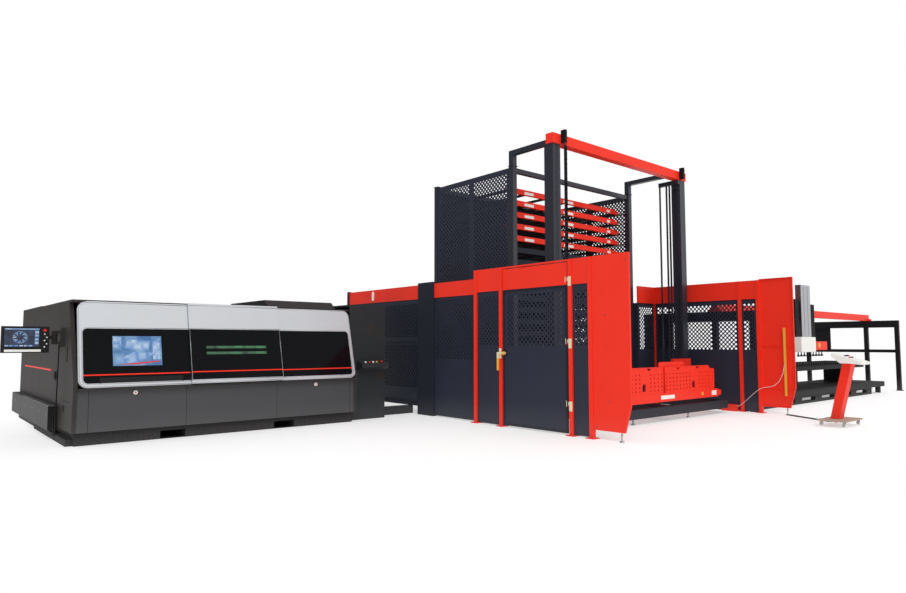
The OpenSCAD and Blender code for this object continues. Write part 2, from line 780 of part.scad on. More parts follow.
// Fence: sheets on the right of the lift and behind it
module fence_sheets_right() {
    z0 = sheet_z;
    h = band_z - z0;
    color(navy) {
        along_x(right_x - sheet_t / 2, sheet_t) translate([hinge_post_y + post_w / 2, z0])
            perforated(corner_y - hinge_post_y - post_w, h, 1340 - z0, h - 30);
        along_x(right_x - sheet_t / 2, sheet_t) translate([post_w / 2, z0])
            perforated(hinge_post_y - post_w, h, 1340 - z0, h - 30, 120, 60);
        along_y(corner_y - sheet_t / 2, sheet_t) translate([return_x, z0])
            perforated(right_x - post_w / 2 - return_x, h, 1340 - z0, h - 30, 120, 60);
        box([return_x, corner_y, z0], [return_x + sheet_t, tower_y, band_z]);
    }
}

// Fence: red end panels, folded at the edges and cut off at the lower corner
function end_outline(inset) = [[-post_w / 2 - inset, 150 + inset],
    [-end_depth + 120 + inset * 0.7, 150 + inset],
    [-end_depth + inset, 600 + inset * 0.3], [-end_depth + inset, fence_h - inset],
        [-post_w / 2 - inset, fence_h - inset]];

module end_foot(x, y) {
    translate([x, y, 0]) cylinder(18, r = foot_r);
    translate([x, y, 17]) cylinder(150, r = 10);
}

module end_panels() {
    fold = 40;
    skin = 6;
    color(red) {
        difference() {
            along_x(-fold / 2, fold) polygon(end_outline(0));
            along_x(-fold / 2 + skin, fold) polygon(end_outline(skin));
        }
        translate([right_x, 0, 0]) {
            difference() {
                along_x(-fold / 2, fold) polygon(end_outline(0));
                along_x(-fold / 2 - skin, fold) polygon(end_outline(skin));
            }
            for (z = [550, 1480])
                box([-fold / 2 + 20, -end_depth + skin, z], [fold / 2 - skin, -post_w / 2 - skin, z + 14]);
        }
        for (x = [0, right_x]) end_foot(x, -570);
        translate([right_x, -570, 0]) rotate([0, 0, -120]) translate([0, -60, 0]) cube([1250, 120, 15]);
    }
}

// Gate: framed leaf with its three hinge pins
module gate_leaf() {
    edge = 36;
    window = [gate_w - 2 * edge, band_z - gate_z0 - 2 * edge];
    color(navy) difference() {
        union() {
            along_x(-gate_t / 2, gate_t) translate([gate_y0, gate_z0]) difference() {
                square([gate_w, band_z - gate_z0]);
                translate([edge, edge]) square(window);
            }
            along_x(-sheet_t / 2, sheet_t) translate([gate_y0 + edge, gate_z0 + edge])
                perforated(window[0], window[1], window[1] - gate_holes_h, window[1] - 20);
            box([-gate_t / 2, latch_y - 40, latch_z - 40], [gate_t / 2, gate_y1 - edge, latch_z + 40]);
            for (z = [gate_hinge_zs[0], gate_hinge_zs[1]]) gate_barrel(z);
        }
        translate([-gate_t, latch_y, latch_z]) rotate([0, 90, 0])
            cylinder(2 * gate_t, r = latch_pin_r + pin_gap);
    }
    color(red) {
        box([-gate_t / 2, gate_y0, band_z], [gate_t / 2, gate_y1, gate_z1]);
        gate_barrel(gate_hinge_zs[2]);
    }
}

// Half a hinge on the gate's edge, with the pin that stands in the post's knuckle
module gate_barrel(z) {
    translate([0, gate_axis_y, z + seat]) cylinder(knuckle_h, r = barrel_r);
    box([-10, gate_axis_y, z + seat], [10, gate_y0 + 2, z + knuckle_h]);
    translate([0, gate_axis_y, z - knuckle_h + 4]) cylinder(knuckle_h, r = gate_pin_r);
}

// Gate: latch bar that reaches over the post, with its hanging handle
module gate_latch() {
    bar = [25, 40];
    reach = 180;
    drop = 320;
    x0 = -75;
    color(yellow) {
        translate([-45, latch_y, latch_z]) rotate([0, 90, 0]) cylinder(45 + gate_t / 2, r = latch_pin_r);
        translate([x0, latch_y, latch_z]) rotate([0, 90, 0]) cylinder(30, r = 30);
        box([x0, latch_y - bar[1] / 2, latch_z - bar[1] / 2],
            [x0 + bar[0], latch_y + reach, latch_z + bar[1] / 2]);
        box([x0, latch_y + reach - bar[1], latch_z - drop], [x0 + bar[0], latch_y + reach, latch_z]);
    }
}

module light_curtain() {
    color(yellow) box([right_x - 41, curtain_y - 20, 410], [right_x, curtain_y + 20, 1890]);
}

module curtain_cable() {
    color(white) cord(curtain_path, curtain_cable_r);
}

// Tower: posts, rails and tray runners
function tray_z(i) = tray_top_z - i * tray_pitch;

module tower_frame() {
    color(navy) {
        for (x = [tower_x, tower_x1 - tower_post], y = [tower_y, tower_y1 - tower_post]) {
            box([x, y, 0], [x + tower_post, y + tower_post, tower_h]);
            box([x - 30, y - 30, 0], [x + tower_post + 30, y + tower_post + 30, 20]);
            box([x - 15, y - 15, tower_h], [x + tower_post + 15, y + tower_post + 15, tower_h + 15]);
        }
        for (x = [tower_x, tower_x1 - tower_post], z = [200, tower_h - 120])
            box([x + 30, tower_y, z], [x + tower_post - 30, tower_y1, z + 100]);
        for (z = [200, tower_h - 120])
            box([tower_x, tower_y1 - tower_post, z], [tower_x1, tower_y1 - 30, z + 100]);
        box([tower_x, tower_y + 30, tower_h - 120], [tower_x1, tower_y + tower_post, tower_h - 20]);
        for (i = [0 : moving_trays + fixed_trays - 1], side = [0, 1]) {
            x = side == 0 ? tower_x + tower_post - 30 : tower_x1 - tower_post - runner_w + 30;
            box([x, tower_y + 30, tray_z(i) - runner_t - seat],
                [x + runner_w, tower_y1 - 30, tray_z(i) - seat]);
        }
    }
}

// Tower: two perforated sheets on each side
module tower_sheets() {
    inner = tower_d - 2 * tower_post;
    half = inner / 2 - seam / 2;
    rear_w = (tower_w - 2 * tower_post - seam) / 2;
    z0 = 320;
    h = tower_h - 10 - z0;
    color(navy) {
        for (x = [tower_x + 12, tower_x1 - 12 - sheet_t], k = [0, 1])
            along_x(x, sheet_t) translate([tower_y + tower_post + k * (half + seam), z0])
                perforated(half, h, 40, h - 100, 330, 110);
        for (k = [0, 1])
            translate([tower_x + tower_post + k * (rear_w + seam), tower_y1 - 12 - sheet_t, z0])
                cube([rear_w, sheet_t, h]);
    }
}

// A storage tray: front and rear beams, side rails and cross bars
module tray(i, tone = red) {
    rail = 40;
    bars = 5;
    color(tone) translate([tray_x0, tray_y0, tray_z(i)]) {
        w = tray_x1 - tray_x0;
        d = tray_y1 - tray_y0;
        difference() {
            union() {
                cube([w, 60, tray_h]);
                translate([0, d - 60, 0]) cube([w, 60, tray_h]);
                for (x = [0, w - rail]) translate([x, 0, 0]) cube([rail, d, 60]);
                for (k = [1 : bars]) translate([k * w / (bars + 1) - 25, 30, 20]) cube([50, d - 60, 50]);
            }
            for (x = [-1, w - 160]) translate([x, -1, tray_h - 35]) cube([161, d + 2, 40]);
        }
    }
}

module lower_trays() {
    for (i = [moving_trays : moving_trays + fixed_trays - 1]) translate([0, 0, -seat]) tray(i, navy);
}

module tray_1() {
    tray(0);
}

module tray_2() {
    tray(1);
}

module tray_3() {
    tray(2);
}

module tray_4() {
    tray(3);
}

module tray_5() {
    tray(4);
}

// Lift: masts with guide grooves, cross members to the tower, hanging rods
module lift_frame() {
    inner_side = [mast_w - 40, -1];
    color(navy) {
        for (k = [0, 1]) translate([mast_xs[k], mast_y, 0]) difference() {
            union() {
                cube([mast_w, mast_d, mast_h]);
                translate([-40, -40, 0]) cube([mast_w + 80, mast_d + 80, 25]);
            }
            translate([inner_side[k], mast_d / 2 - 50, 300]) cube([41, 100, mast_h - 500]);
        }
        for (x = [tower_x, tower_x1 - tower_post]) {
            box([x, tower_y, tower_h + 15], [x + tower_post, tower_y + tower_post, link_z + link_h]);
            box([x, mast_y, link_z], [x + tower_post, tower_y, link_z + link_h]);
        }
        box([mast_xs[0] + mast_w + 5, mast_y - 120, base_z1],
            [mast_xs[0] + mast_w + 5 + rod_w, mast_y - 120 + rod_w, mast_h]);
        box([mast_xs[1] - 80, mast_y, mast_h - 100], [mast_xs[1], rod_ys[2] + 40, mast_h]);
        for (y = rod_ys)
            box([mast_xs[1] - 70, y, base_z1], [mast_xs[1] - 70 + rod_w, y + rod_w, mast_h - 50]);
    }
}

module lift_beam() {
    x0 = mast_xs[0] - 30;
    x1 = mast_xs[1] + mast_w + 30;
    color(red) difference() {
        box([x0, mast_y - 20, mast_h], [x1, mast_y + 160, mast_h + top_beam_h]);
        box([x0 + 12, mast_y, mast_h + 12], [x1 - 12, mast_y + 161, mast_h + top_beam_h - 12]);
    }
    color(navy) box([mast_xs[0] + mast_w - 5, mast_y - 130, mast_h],
        [mast_xs[0] + mast_w + 55, mast_y - 20, mast_h + top_beam_h + 80]);
}

module lift_base() {
    x0 = mast_xs[0] + mast_w + 5;
    x1 = mast_xs[1] - 5;
    y1 = corner_y - 60;
    color(navy) {
        for (y = [lift_y + 4, y1 - 160]) box([x0, y, base_z0], [x1, y + 160, base_z1]);
        for (x = [x0, (x0 + x1) / 2 - 80, x1 - 160]) box([x, lift_y + 4, base_z0], [x + 160, y1, base_z1]);
        for (x = [2010, 3990], y = [lift_y + 84, y1 - 80]) {
            translate([x, y, 0]) cylinder(18, r = foot_r);
            translate([x, y, 17]) cylinder(base_z0 - 10, r = 12);
        }
    }
}

// Lift: carriage with side arms, guide plates and support bars
module lift_carriage() {
    gap = 0.5;
    color(red) {
        box([lift_x0, lift_y, lift_z], [lift_x1, lift_y + arm_w, lift_z + lift_beam_h]);
        for (x = [lift_x0, lift_x1 - arm_w])
            box([x, lift_y, lift_z], [x + arm_w, mast_y - gap, lift_z + lift_beam_h]);
        for (y = [lift_y + 350, lift_y + 700])
            box([lift_x0, y, lift_z + 30], [lift_x1, y + 80, lift_z + 110]);
        box([mast_xs[0] + 20, mast_y - gap - 60, lift_z], [lift_x0 + arm_w, mast_y - gap, lift_z + 800]);
        box([lift_x1 - arm_w, mast_y - gap - 60, lift_z],
            [mast_xs[1] + mast_w - 20, mast_y - gap, lift_z + 800]);
        along_y(lift_y + 70, 30) translate([2920, lift_z + lift_beam_h]) round_top(940, plate_h + 95, 60);
        along_y(lift_y + 20, 40) translate([lift_x1 - 320, lift_z + lift_beam_h]) round_top(200,
            plate_h - 70, 40);
    }
}

// Lift: two front plates with keyholes and rows of small holes
module lift_plate(x, w) {
    rows = 5;
    cols = 14;
    hole_r = 21;
    row_pitch = 78;
    keyhole = [w * 0.28, w * 0.72];
    along_y(lift_y + 10, 30) translate([x, lift_z + lift_beam_h]) difference() {
        round_top(w, plate_h, 90);
        for (i = [0 : cols - 1], j = [0 : rows - 1])
            if (abs((i + 0.5) * w / cols - w * 0.62) > 130)
                translate([(i + 0.5) * w / cols, row_pitch * (j + 0.8)]) circle(hole_r, $fn = 16);
        translate([w * 0.62, 150]) circle(60);
        translate([w * 0.62 - 60, 60]) square([120, 90]);
        for (k = keyhole) translate([k, plate_h]) circle(70);
    }
}

module lift_plates() {
    gap = 60;
    w = (lift_x1 - 330 - lift_x0 - gap) / 2;
    color(red) {
        lift_plate(lift_x0, w);
        lift_plate(lift_x0 + w + gap, w);
    }
}

// Loader: platform on slotted beams
module loader_deck() {
    plate = 150;
    color(navy) {
        box([deck_x, deck_y, deck_h - plate], [deck_x + deck_len, deck_y + deck_d, deck_h]);
        for (y = [deck_y + 60, deck_y + deck_d - 180]) difference() {
            box([deck_x, y, 0], [deck_x + deck_len - 1000, y + 120, deck_h - plate]);
            for (k = [0 : 5])
                box([deck_x + 250 + k * 1280, y - 1, 60], [deck_x + 1100 + k * 1280, y + 121, 150]);
        }
        for (y = [deck_y + 60, deck_y + deck_d - 180])
            box([deck_x + deck_len - 300, y, 0], [deck_x + deck_len - 180, y + 120, deck_h - plate]);
    }
}

// Loader: posts and rails that carry the bridge
module loader_rails() {
    color(navy) for (x = rail_xs) {
        box([x, rail_y0, rail_h - 230], [x + rail_w, rail_y1, rail_h]);
        box([x + 30, rail_y0, 1240], [x + rail_w - 30, rail_y1, 1340]);
        box([x + 50, rail_y1 - 800, 1240], [x + 90, rail_y1, rail_h - 230]);
        for (y = [rail_y0, rail_y0 + 900, rail_y1 - 120]) {
            box([x + 10, y, 0], [x + rail_w - 10, y + 120, rail_h - 230]);
            box([x, y - 30, 0], [x + rail_w + 60, y + 150, 20]);
        }
    }
}

// Loader: sorting table with toothed slats
module loader_table() {
    slats = 34;
    y0 = deck_y + 420;
    w = 1100;
    pitch = table_len / slats;
    color(navy) {
        box([table_x, y0, table_z - 150], [table_x + table_len, y0 + w, table_z - 30]);
        for (x = [table_x + 400, table_x + table_len - 800])
            box([x, y0 + 200, deck_h], [x + 400, y0 + w - 200, table_z - 150]);
        for (i = [0 : slats - 1])
            box([table_x + (i + 0.3) * pitch, y0, table_z - 31],
                [table_x + (i + 0.7) * pitch, y0 + w, table_z + 30]);
    }
}

// Loader: bridge, trolley with lifting columns, gripper head
module loader_bridge() {
    z0 = rail_h + seat;
    color(red) {
        box([rail_xs[0] + shoe_in, bridge_y, z0],
            [rail_xs[1] + rail_w, bridge_y + bridge_w, z0 + bridge_h]);
        for (x = rail_xs)
            box([x + shoe_in, bridge_y - 80, z0],
                [x + rail_w - shoe_in, bridge_y + bridge_w + 80, z0 + 60]);
    }
}

module loader_trolley() {
    z0 = rail_h + bridge_h + 2 * seat;
    y1 = bridge_y - seat;
    color(charcoal) {
        box([trolley_x, y1 - 160, z0 - 400], [trolley_x + trolley_w, y1, z0 + 250]);
        box([trolley_x, y1 - 160, z0], [trolley_x + trolley_w, bridge_y + bridge_w, z0 + 60]);
    }
}

module gripper_head() {
    y0 = bridge_y - 440;
    y1 = bridge_y - 160 - 2 * seat;
    color(silver) box([trolley_x + column_xs[1][0], y1 - 160, head_z + head_h],
        [trolley_x + column_xs[1][1], y1, column_tops[1]]);
    color(charcoal) for (k = [0, 2])
        box([trolley_x + max(column_xs[k][0], head_xs[0]), y1 - 140, head_z + head_h - (k == 2 ? 120 : 0)],
            [trolley_x + column_xs[k][1], y1, column_tops[k]]);
    color(white) box([trolley_x + head_xs[0], y0, head_z], [trolley_x + head_xs[1], y1, head_z + head_h]);
    color(red) box([trolley_x + head_xs[1], y0 + 20, head_z + 50],
        [trolley_x + head_xs[2], y1, head_z + head_h - 120]);
    color(steel) for (i = [0 : cups - 1])
        translate([trolley_x + head_xs[0] + 100 + i * 200, (y0 + y1) / 2, head_z - cup_h])
            cylinder(cup_h + 60, r1 = 40, r2 = 25);
}

// Console: foot plate, casters and leaning column
module console_stand() {
    x1 = console_x + console_w;
    y1 = console_y + console_d;
    mid = [console_x + console_w * 0.48, console_y + console_d * 0.55];
    color([0.62, 0.5, 0.42]) box([console_x, console_y, console_z], [x1, y1, console_z + 25]);
    color(red) along_x(mid[0] - 110,
        220) polygon([[mid[1] + 100, console_z + 25], [mid[1] - 60, console_z + 25],
        [mid[1] - 60 - console_h * sin(console_lean), console_h],
            [mid[1] + 100 - console_h * sin(console_lean), console_h]]);
    for (x = [console_x + 70, x1 - 70], y = [console_y + 60, y1 - 60]) {
        color(white) translate([x - 14, y, wheel_r]) rotate([0, 90, 0]) cylinder(28, r = wheel_r);
        color(steel) for (k = [-20, 16]) box([x + k, y - 22, wheel_r - 10], [x + k + 4, y + 22, console_z]);
        color(steel) translate([x - 24, y, wheel_r]) rotate([0, 90, 0]) cylinder(48, r = 6);
    }
}

module console_panel() {
    mid = [console_x + console_w * 0.48, console_y + console_d * 0.55];
    top_y = mid[1] - console_h * sin(console_lean);
    color(white) along_x(mid[0] - 225,
        450) polygon([[top_y + 240, console_h + 190], [top_y + 250, console_h + 130],
        [top_y + 100, console_h], [top_y - 60, console_h], [top_y - 260, console_h - 20],
            [top_y - 270, console_h + 30]]);
    color(red) translate([mid[0] + 100, top_y + 60, console_h + 110]) rotate([17, 0, 0]) cylinder(50,
        r = 22);
    color("blue") translate([mid[0] - 60, top_y + 60, console_h + 110]) rotate([17, 0, 0]) cylinder(46,
        r = 18);
}

machine_base();
machine_frame();
side_cover();
side_hatch();
skirt_panels();
front_frame_left();
front_frame_right();
front_glass();
door_frame();
door_glass();
roof_cover();
back_wall();
end_wall();
end_cover();
rear_cabinet();
duct_box();
front_button_left();
front_button_right();
shelf_button();
hmi_bracket();
hmi_arm();
hmi_panel();
hmi_button();
hmi_cable();
machine_bed();
pallet();
gantry_beam();
head_carriage();
cutting_head();
fence_posts();
fence_bands();
fence_sheets_left();
fence_sheets_rear();
fence_sheets_right();
end_panels();
gate_leaf();
gate_latch();
light_curtain();
curtain_cable();
tower_frame();
tower_sheets();
lower_trays();
tray_1();
tray_2();
tray_3();
tray_4();
tray_5();
lift_frame();
lift_beam();
lift_base();
lift_carriage();
lift_plates();
loader_deck();
loader_rails();
loader_table();
loader_bridge();
loader_trolley();
gripper_head();
console_stand();
console_panel();
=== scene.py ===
# %% [markdown]
# A laser cutting line, dressed in Blender
# The frame holds every solid of the line at its real size: the cutter, the fence, the tray tower with its
# lift, the loader and the console. This lesson adds finishes and fine pieces, and moves none of the solids.

# %% Load the frame
import math

import bmesh
import bpy
from mathutils import Matrix, Vector


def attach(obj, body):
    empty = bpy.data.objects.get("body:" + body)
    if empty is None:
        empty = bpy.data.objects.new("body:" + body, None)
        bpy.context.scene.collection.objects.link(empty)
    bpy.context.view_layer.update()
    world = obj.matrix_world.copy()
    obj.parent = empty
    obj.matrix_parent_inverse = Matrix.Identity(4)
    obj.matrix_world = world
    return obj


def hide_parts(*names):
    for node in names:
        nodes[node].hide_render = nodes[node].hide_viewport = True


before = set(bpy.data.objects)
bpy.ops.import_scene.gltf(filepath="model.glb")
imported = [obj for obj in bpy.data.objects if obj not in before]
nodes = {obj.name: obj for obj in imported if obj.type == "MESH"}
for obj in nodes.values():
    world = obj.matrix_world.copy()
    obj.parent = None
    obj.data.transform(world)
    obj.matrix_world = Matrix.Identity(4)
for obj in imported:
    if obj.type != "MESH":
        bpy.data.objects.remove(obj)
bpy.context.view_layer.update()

# %% [markdown]
# The camera
# The photograph was taken at eye level from in front of the cutter's left corner. The values below come
# from solving the photograph's lines: a camera without shift, turned 40.5 degrees to the right of the Y
# axis.

# %% Camera
camera_place = Vector((-8.80, -6.79, 1.568))
camera_turn = math.radians(40.47)
camera_rise = math.radians(4.02)
focal_px = 656.0
image_w = 906.0
sensor_mm = 36.0

camera_data = bpy.data.cameras.new("photo_camera")
camera_data.sensor_width = sensor_mm
camera_data.sensor_fit = "HORIZONTAL"
camera_data.lens = focal_px / image_w * sensor_mm
camera_data.clip_end = 400.0
camera = bpy.data.objects.new("photo_camera", camera_data)
camera.location = camera_place
camera.rotation_euler = (math.pi / 2 + camera_rise, 0.0, -camera_turn)
bpy.context.scene.collection.objects.link(camera)
bpy.context.scene.camera = camera
print("lens", round(camera_data.lens, 2), "mm")

# %% [markdown]
# Blocks
# Most added pieces are plates and bars. Each is a cube, scaled to its size and bevelled, because a real
# edge is never quite sharp and catches a line of light. Mesh code makes them, since it needs no selected
# object and one mesh can take many blocks.

# %% Blocks
def mesh_object(name, bm, smooth=False):
    mesh = bpy.data.meshes.new(name)
    bm.normal_update()
    bm.to_mesh(mesh)
    bm.free()
    if smooth:
        for face in mesh.polygons:
            face.use_smooth = True
    obj = bpy.data.objects.new(name, mesh)
    bpy.context.scene.collection.objects.link(obj)
    return obj


def add_block(bm, low, high, bevel=0.0, segments=2, place=None):
    """A block between two corners. The bevel stays under half of its thinnest side."""
    low, high = Vector(low), Vector(high)
    made = bmesh.ops.create_cube(bm, size=1.0)["verts"]
    size = high - low
    bmesh.ops.scale(bm, vec=size, verts=made)
    bmesh.ops.translate(bm, vec=(low + high) / 2, verts=made)
    if bevel > 0:
        edges = list({e for v in made for e in v.link_edges})
        cut = bmesh.ops.bevel(bm, geom=edges, offset=min(bevel, min(size) * 0.45), segments=segments,
                              affect="EDGES", profile=0.5)
        made = list({v for f in cut["faces"] for v in f.verts} | {v for v in made if v.is_valid})
    if place is not None:
        bmesh.ops.transform(bm, matrix=place, verts=made)


def blocks(boxes, bevel=0.0, segments=2):
    """A new mesh of blocks, each given by its low and its high corner."""
    bm = bmesh.new()
    for low, high in boxes:
        add_block(bm, low, high, bevel, segments)
    return bm

# %% [markdown]
# Turned pieces
# Screws, caps, wheels and rods are round, so they are turned as on a lathe: a profile of radius and height
# points becomes a row of rings, and walls join each ring to the next. The same rings also make a bar along
# a bent line.

# %% Turned pieces
def join_rings(bm, rings):
    """Closes a row of rings to a solid: walls between neighbours and a face at each end."""
    count = len(rings[0])
    for low, high in zip(rings, rings[1:]):
        for k in range(count):
            n = (k + 1) % count
            bm.faces.new((low[k], low[n], high[n], high[k]))
    bm.faces.new(list(reversed(rings[0])))
    bm.faces.new(rings[-1])


def add_disc(bm, profile, place, sides=28):
    """Turns a profile of (radius, height) points round the Z axis of place."""
    rings = []
    for radius, height in profile:
        ring = []
        for k in range(sides):
            a = 2 * math.pi * k / sides
            ring.append(bm.verts.new(place @ Vector((radius * math.cos(a), radius * math.sin(a), height))))
        rings.append(ring)
    join_rings(bm, rings)


def toward(place, direction):
    """A matrix at place whose Z axis points along direction."""
    return Matrix.Translation(Vector(place)) @ Vector(direction).to_track_quat("Z", "Y").to_matrix().to_4x4()


def add_cap(bm, place, direction, radius, side, top, height, sides=12):
    """A round head on a surface: straight as far as side, then narrowing to the radius top at height."""
    add_disc(bm, [(radius, 0.0), (radius, side), (top, height)], toward(place, direction), sides)


def rim(bm, points, radius, sides=8):
    """A bar of round section along a line of points in one plane, XZ."""
    rings, out = [], Vector((0, 1, 0))
    for k, p in enumerate(points):
        before, after = points[max(k - 1, 0)], points[min(k + 1, len(points) - 1)]
        across = out.cross((Vector(after) - Vector(before)).normalized())
        rings.append([bm.verts.new(Vector(p) + radius * (math.cos(a) * across + math.sin(a) * out))
                      for a in (2 * math.pi * s / sides for s in range(sides))])
    join_rings(bm, rings)

# %% [markdown]
# Pieces
# Every piece gets a finish and rides on the body that it is fixed to. The frame's own materials already use
# the plain names, so Blender adds a dot and a number to a finish's name. A slot name is worked out as the
# part before the dot.

# %% Pieces
def finish_piece(obj, body, slot, material, *replaced):
    obj.data.materials.clear()
    obj.data.materials.append(material)
    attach(obj, body)
    if replaced:
        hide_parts(*replaced)
    print("piece", obj.name, "rides on", body)


def piece(name, bm, body, material, *replaced, slot=None, smooth=False):
    """A piece from a mesh. Its slot name, the finish's name unless another one is given, is passed on but not
    used.
    """
    own_slot = material.name.partition(".")[0]
    finish_piece(mesh_object(name, bm, smooth), body, slot or own_slot, material, *replaced)

# %% [markdown]
# Node helpers
# Finishes are built from shader nodes. A few helpers add the nodes that every finish needs: arithmetic, a
# mix of two colours, noise and a group. A group is used here because several paints then share one set of
# nodes.

# %% Node helpers
def new_group(name, inputs, outputs):
    group = bpy.data.node_groups.new(name, "ShaderNodeTree")
    for label, kind, value in inputs:
        socket = group.interface.new_socket(label, in_out="INPUT", socket_type=kind)
        socket.default_value = value
    for label, kind in outputs:
        group.interface.new_socket(label, in_out="OUTPUT", socket_type=kind)
    return group, group.nodes.new("NodeGroupInput"), group.nodes.new("NodeGroupOutput")


def math_node(tree, operation, a, b=None, clamp=False):
    node = tree.nodes.new("ShaderNodeMath")
    node.operation = operation
    node.use_clamp = clamp
    for i, value in enumerate((a, b)):
        if value is None:
            continue
        if isinstance(value, (int, float)):
            node.inputs[i].default_value = value
        else:
            tree.links.new(value, node.inputs[i])
    return node.outputs[0]


def mix_colour(tree, factor, a, b):
    node = tree.nodes.new("ShaderNodeMix")
    node.data_type = "RGBA"
    tree.links.new(factor, node.inputs[0])
    for socket, value in ((node.inputs[6], a), (node.inputs[7], b)):
        if isinstance(value, tuple):
            socket.default_value = value
        else:
            tree.links.new(value, socket)
    return node.outputs[2]


def noise(tree, vector, scale, detail=3.0, rough=0.55):
    node = tree.nodes.new("ShaderNodeTexNoise")
    node.inputs["Scale"].default_value = scale
    node.inputs["Detail"].default_value = detail
    node.inputs["Roughness"].default_value = rough
    tree.links.new(vector, node.inputs["Vector"])
    return node.outputs["Fac"]


def scaled_colour(tree, colour, factor):
    node = tree.nodes.new("ShaderNodeVectorMath")
    node.operation = "SCALE"
    tree.links.new(colour, node.inputs[0])
    tree.links.new(factor, node.inputs["Scale"])
    return node.outputs[0]

# %% [markdown]
# Powder coat
# Powder coat is never one flat colour: it has a fine orange-peel skin, cloudy patches where the film is
# thicker, and a little pale dust near the floor. One node group makes these as a colour, a roughness and a
# height, so each paint can place it with its own values.

# %% Powder coat
def make_powder_coat():
    group, inp, out = new_group(
        "powder_coat",
        [("Paint", "NodeSocketColor", (0.5, 0.5, 0.5, 1)), ("Dust", "NodeSocketColor", (0.4, 0.38, 0.36, 1)),
         ("Roughness", "NodeSocketFloat", 0.4), ("Clouds", "NodeSocketFloat", 0.12),
         ("Dust Amount", "NodeSocketFloat", 0.2)],
        [("Color", "NodeSocketColor"), ("Roughness", "NodeSocketFloat"), ("Height", "NodeSocketFloat")])
    place = group.nodes.new("ShaderNodeNewGeometry").outputs["Position"]
    peel = noise(group, place, 260.0, 2.0)
    cloud = noise(group, place, 1.7, 4.0, 0.6)
    speck = noise(group, place, 38.0, 5.0, 0.7)
    split = group.nodes.new("ShaderNodeSeparateXYZ")
    group.links.new(place, split.inputs[0])
    shade = math_node(group, "SUBTRACT", cloud, 0.5)
    shade = math_node(group, "MULTIPLY", shade, inp.outputs["Clouds"])
    shade = math_node(group, "ADD", shade, 1.0)
    cloudy = scaled_colour(group, inp.outputs["Paint"], shade)
    low = math_node(group, "MULTIPLY", split.outputs["Z"], -2.2)
    low = math_node(group, "ADD", low, 1.0, clamp=True)
    dusty = math_node(group, "MULTIPLY", low, speck)
    dusty = math_node(group, "MULTIPLY", dusty, inp.outputs["Dust Amount"], clamp=True)
    colour = mix_colour(group, dusty, cloudy, inp.outputs["Dust"])
    group.links.new(colour, out.inputs["Color"])
    uneven = math_node(group, "MULTIPLY", speck, 0.16)
    uneven = math_node(group, "ADD", uneven, inp.outputs["Roughness"])
    group.links.new(math_node(group, "ADD", uneven, dusty, clamp=True), out.inputs["Roughness"])
    group.links.new(peel, out.inputs["Height"])
    return group


powder_coat = make_powder_coat()
print("node group:", powder_coat.name)

# %% [markdown]
# Brushed metal
# Bare steel shows fine level streaks from rolling and grinding. They are noise that is squeezed in height,
# and it shifts the colour and the roughness together. A picture of metal would repeat itself, and noise
# does not.

# %% Brushed metal
def make_brushed():
    group, inp, out = new_group(
        "brushed_metal",
        [("Metal", "NodeSocketColor", (0.6, 0.6, 0.6, 1)), ("Roughness", "NodeSocketFloat", 0.3),
         ("Streaks", "NodeSocketFloat", 0.2)],
        [("Color", "NodeSocketColor"), ("Roughness", "NodeSocketFloat"), ("Height", "NodeSocketFloat")])
    place = group.nodes.new("ShaderNodeNewGeometry").outputs["Position"]
    stretch = group.nodes.new("ShaderNodeMapping")
    stretch.inputs["Scale"].default_value = (3.0, 3.0, 140.0)
    group.links.new(place, stretch.inputs["Vector"])
    streak = noise(group, stretch.outputs[0], 4.0, 4.0)
    shade = math_node(group, "SUBTRACT", streak, 0.5)
    shade = math_node(group, "MULTIPLY", shade, inp.outputs["Streaks"])
    level = math_node(group, "ADD", shade, 1.0)
    group.links.new(scaled_colour(group, inp.outputs["Metal"], level), out.inputs["Color"])
    rough = math_node(group, "ADD", shade, inp.outputs["Roughness"], clamp=True)
    group.links.new(rough, out.inputs["Roughness"])
    group.links.new(streak, out.inputs["Height"])
    return group


brushed_metal = make_brushed()
print("node group:", brushed_metal.name)

# %% [markdown]
# Material functions
# Each finish is a Principled shader whose colour, roughness and bump come from one of the two groups. The
# trays' backs lie in shadow, so past a share of the tray's own depth their red turns to a dark painted shade.

# %% Material functions
def linear(red, green, blue):
    """An sRGB colour, 0 to 255, as the linear values that the shader takes."""
    values = []
    for channel in (red, green, blue):
        c = channel / 255.0
        values.append(c / 12.92 if c <= 0.04045 else ((c + 0.055) / 1.055) ** 2.4)
    return (*values, 1.0)


def new_material(name):
    material = bpy.data.materials.new(name)
    material.use_nodes = True
    return material, material.node_tree, material.node_tree.nodes["Principled BSDF"]


def bump(tree, shader, height, strength, distance):
    node = tree.nodes.new("ShaderNodeBump")
    node.inputs["Strength"].default_value = strength
    node.inputs["Distance"].default_value = distance
    tree.links.new(height, node.inputs["Height"])
    tree.links.new(node.outputs[0], shader.inputs["Normal"])


def coated(name, effect, values, metallic, bump_strength, bump_distance):
    """A material whose colour, roughness and bump come from a node group with its own values."""
    material, tree, shader = new_material(name)
    group = tree.nodes.new("ShaderNodeGroup")
    group.node_tree = effect
    for label, value in values.items():
        group.inputs[label].default_value = value
    tree.links.new(group.outputs["Color"], shader.inputs["Base Color"])
    tree.links.new(group.outputs["Roughness"], shader.inputs["Roughness"])
    shader.inputs["Metallic"].default_value = metallic
    bump(tree, shader, group.outputs["Height"], bump_strength, bump_distance)
    return material, shader


def paint(name, colour, rough, metallic=0.0, clouds=0.12, dust=0.25, peel=0.12, gloss=0.25):
    values = {"Paint": colour, "Roughness": rough, "Clouds": clouds, "Dust Amount": dust}
    material, shader = coated(name, powder_coat, values, metallic, peel, 0.001)
    shader.inputs["Specular IOR Level"].default_value = gloss
    return material


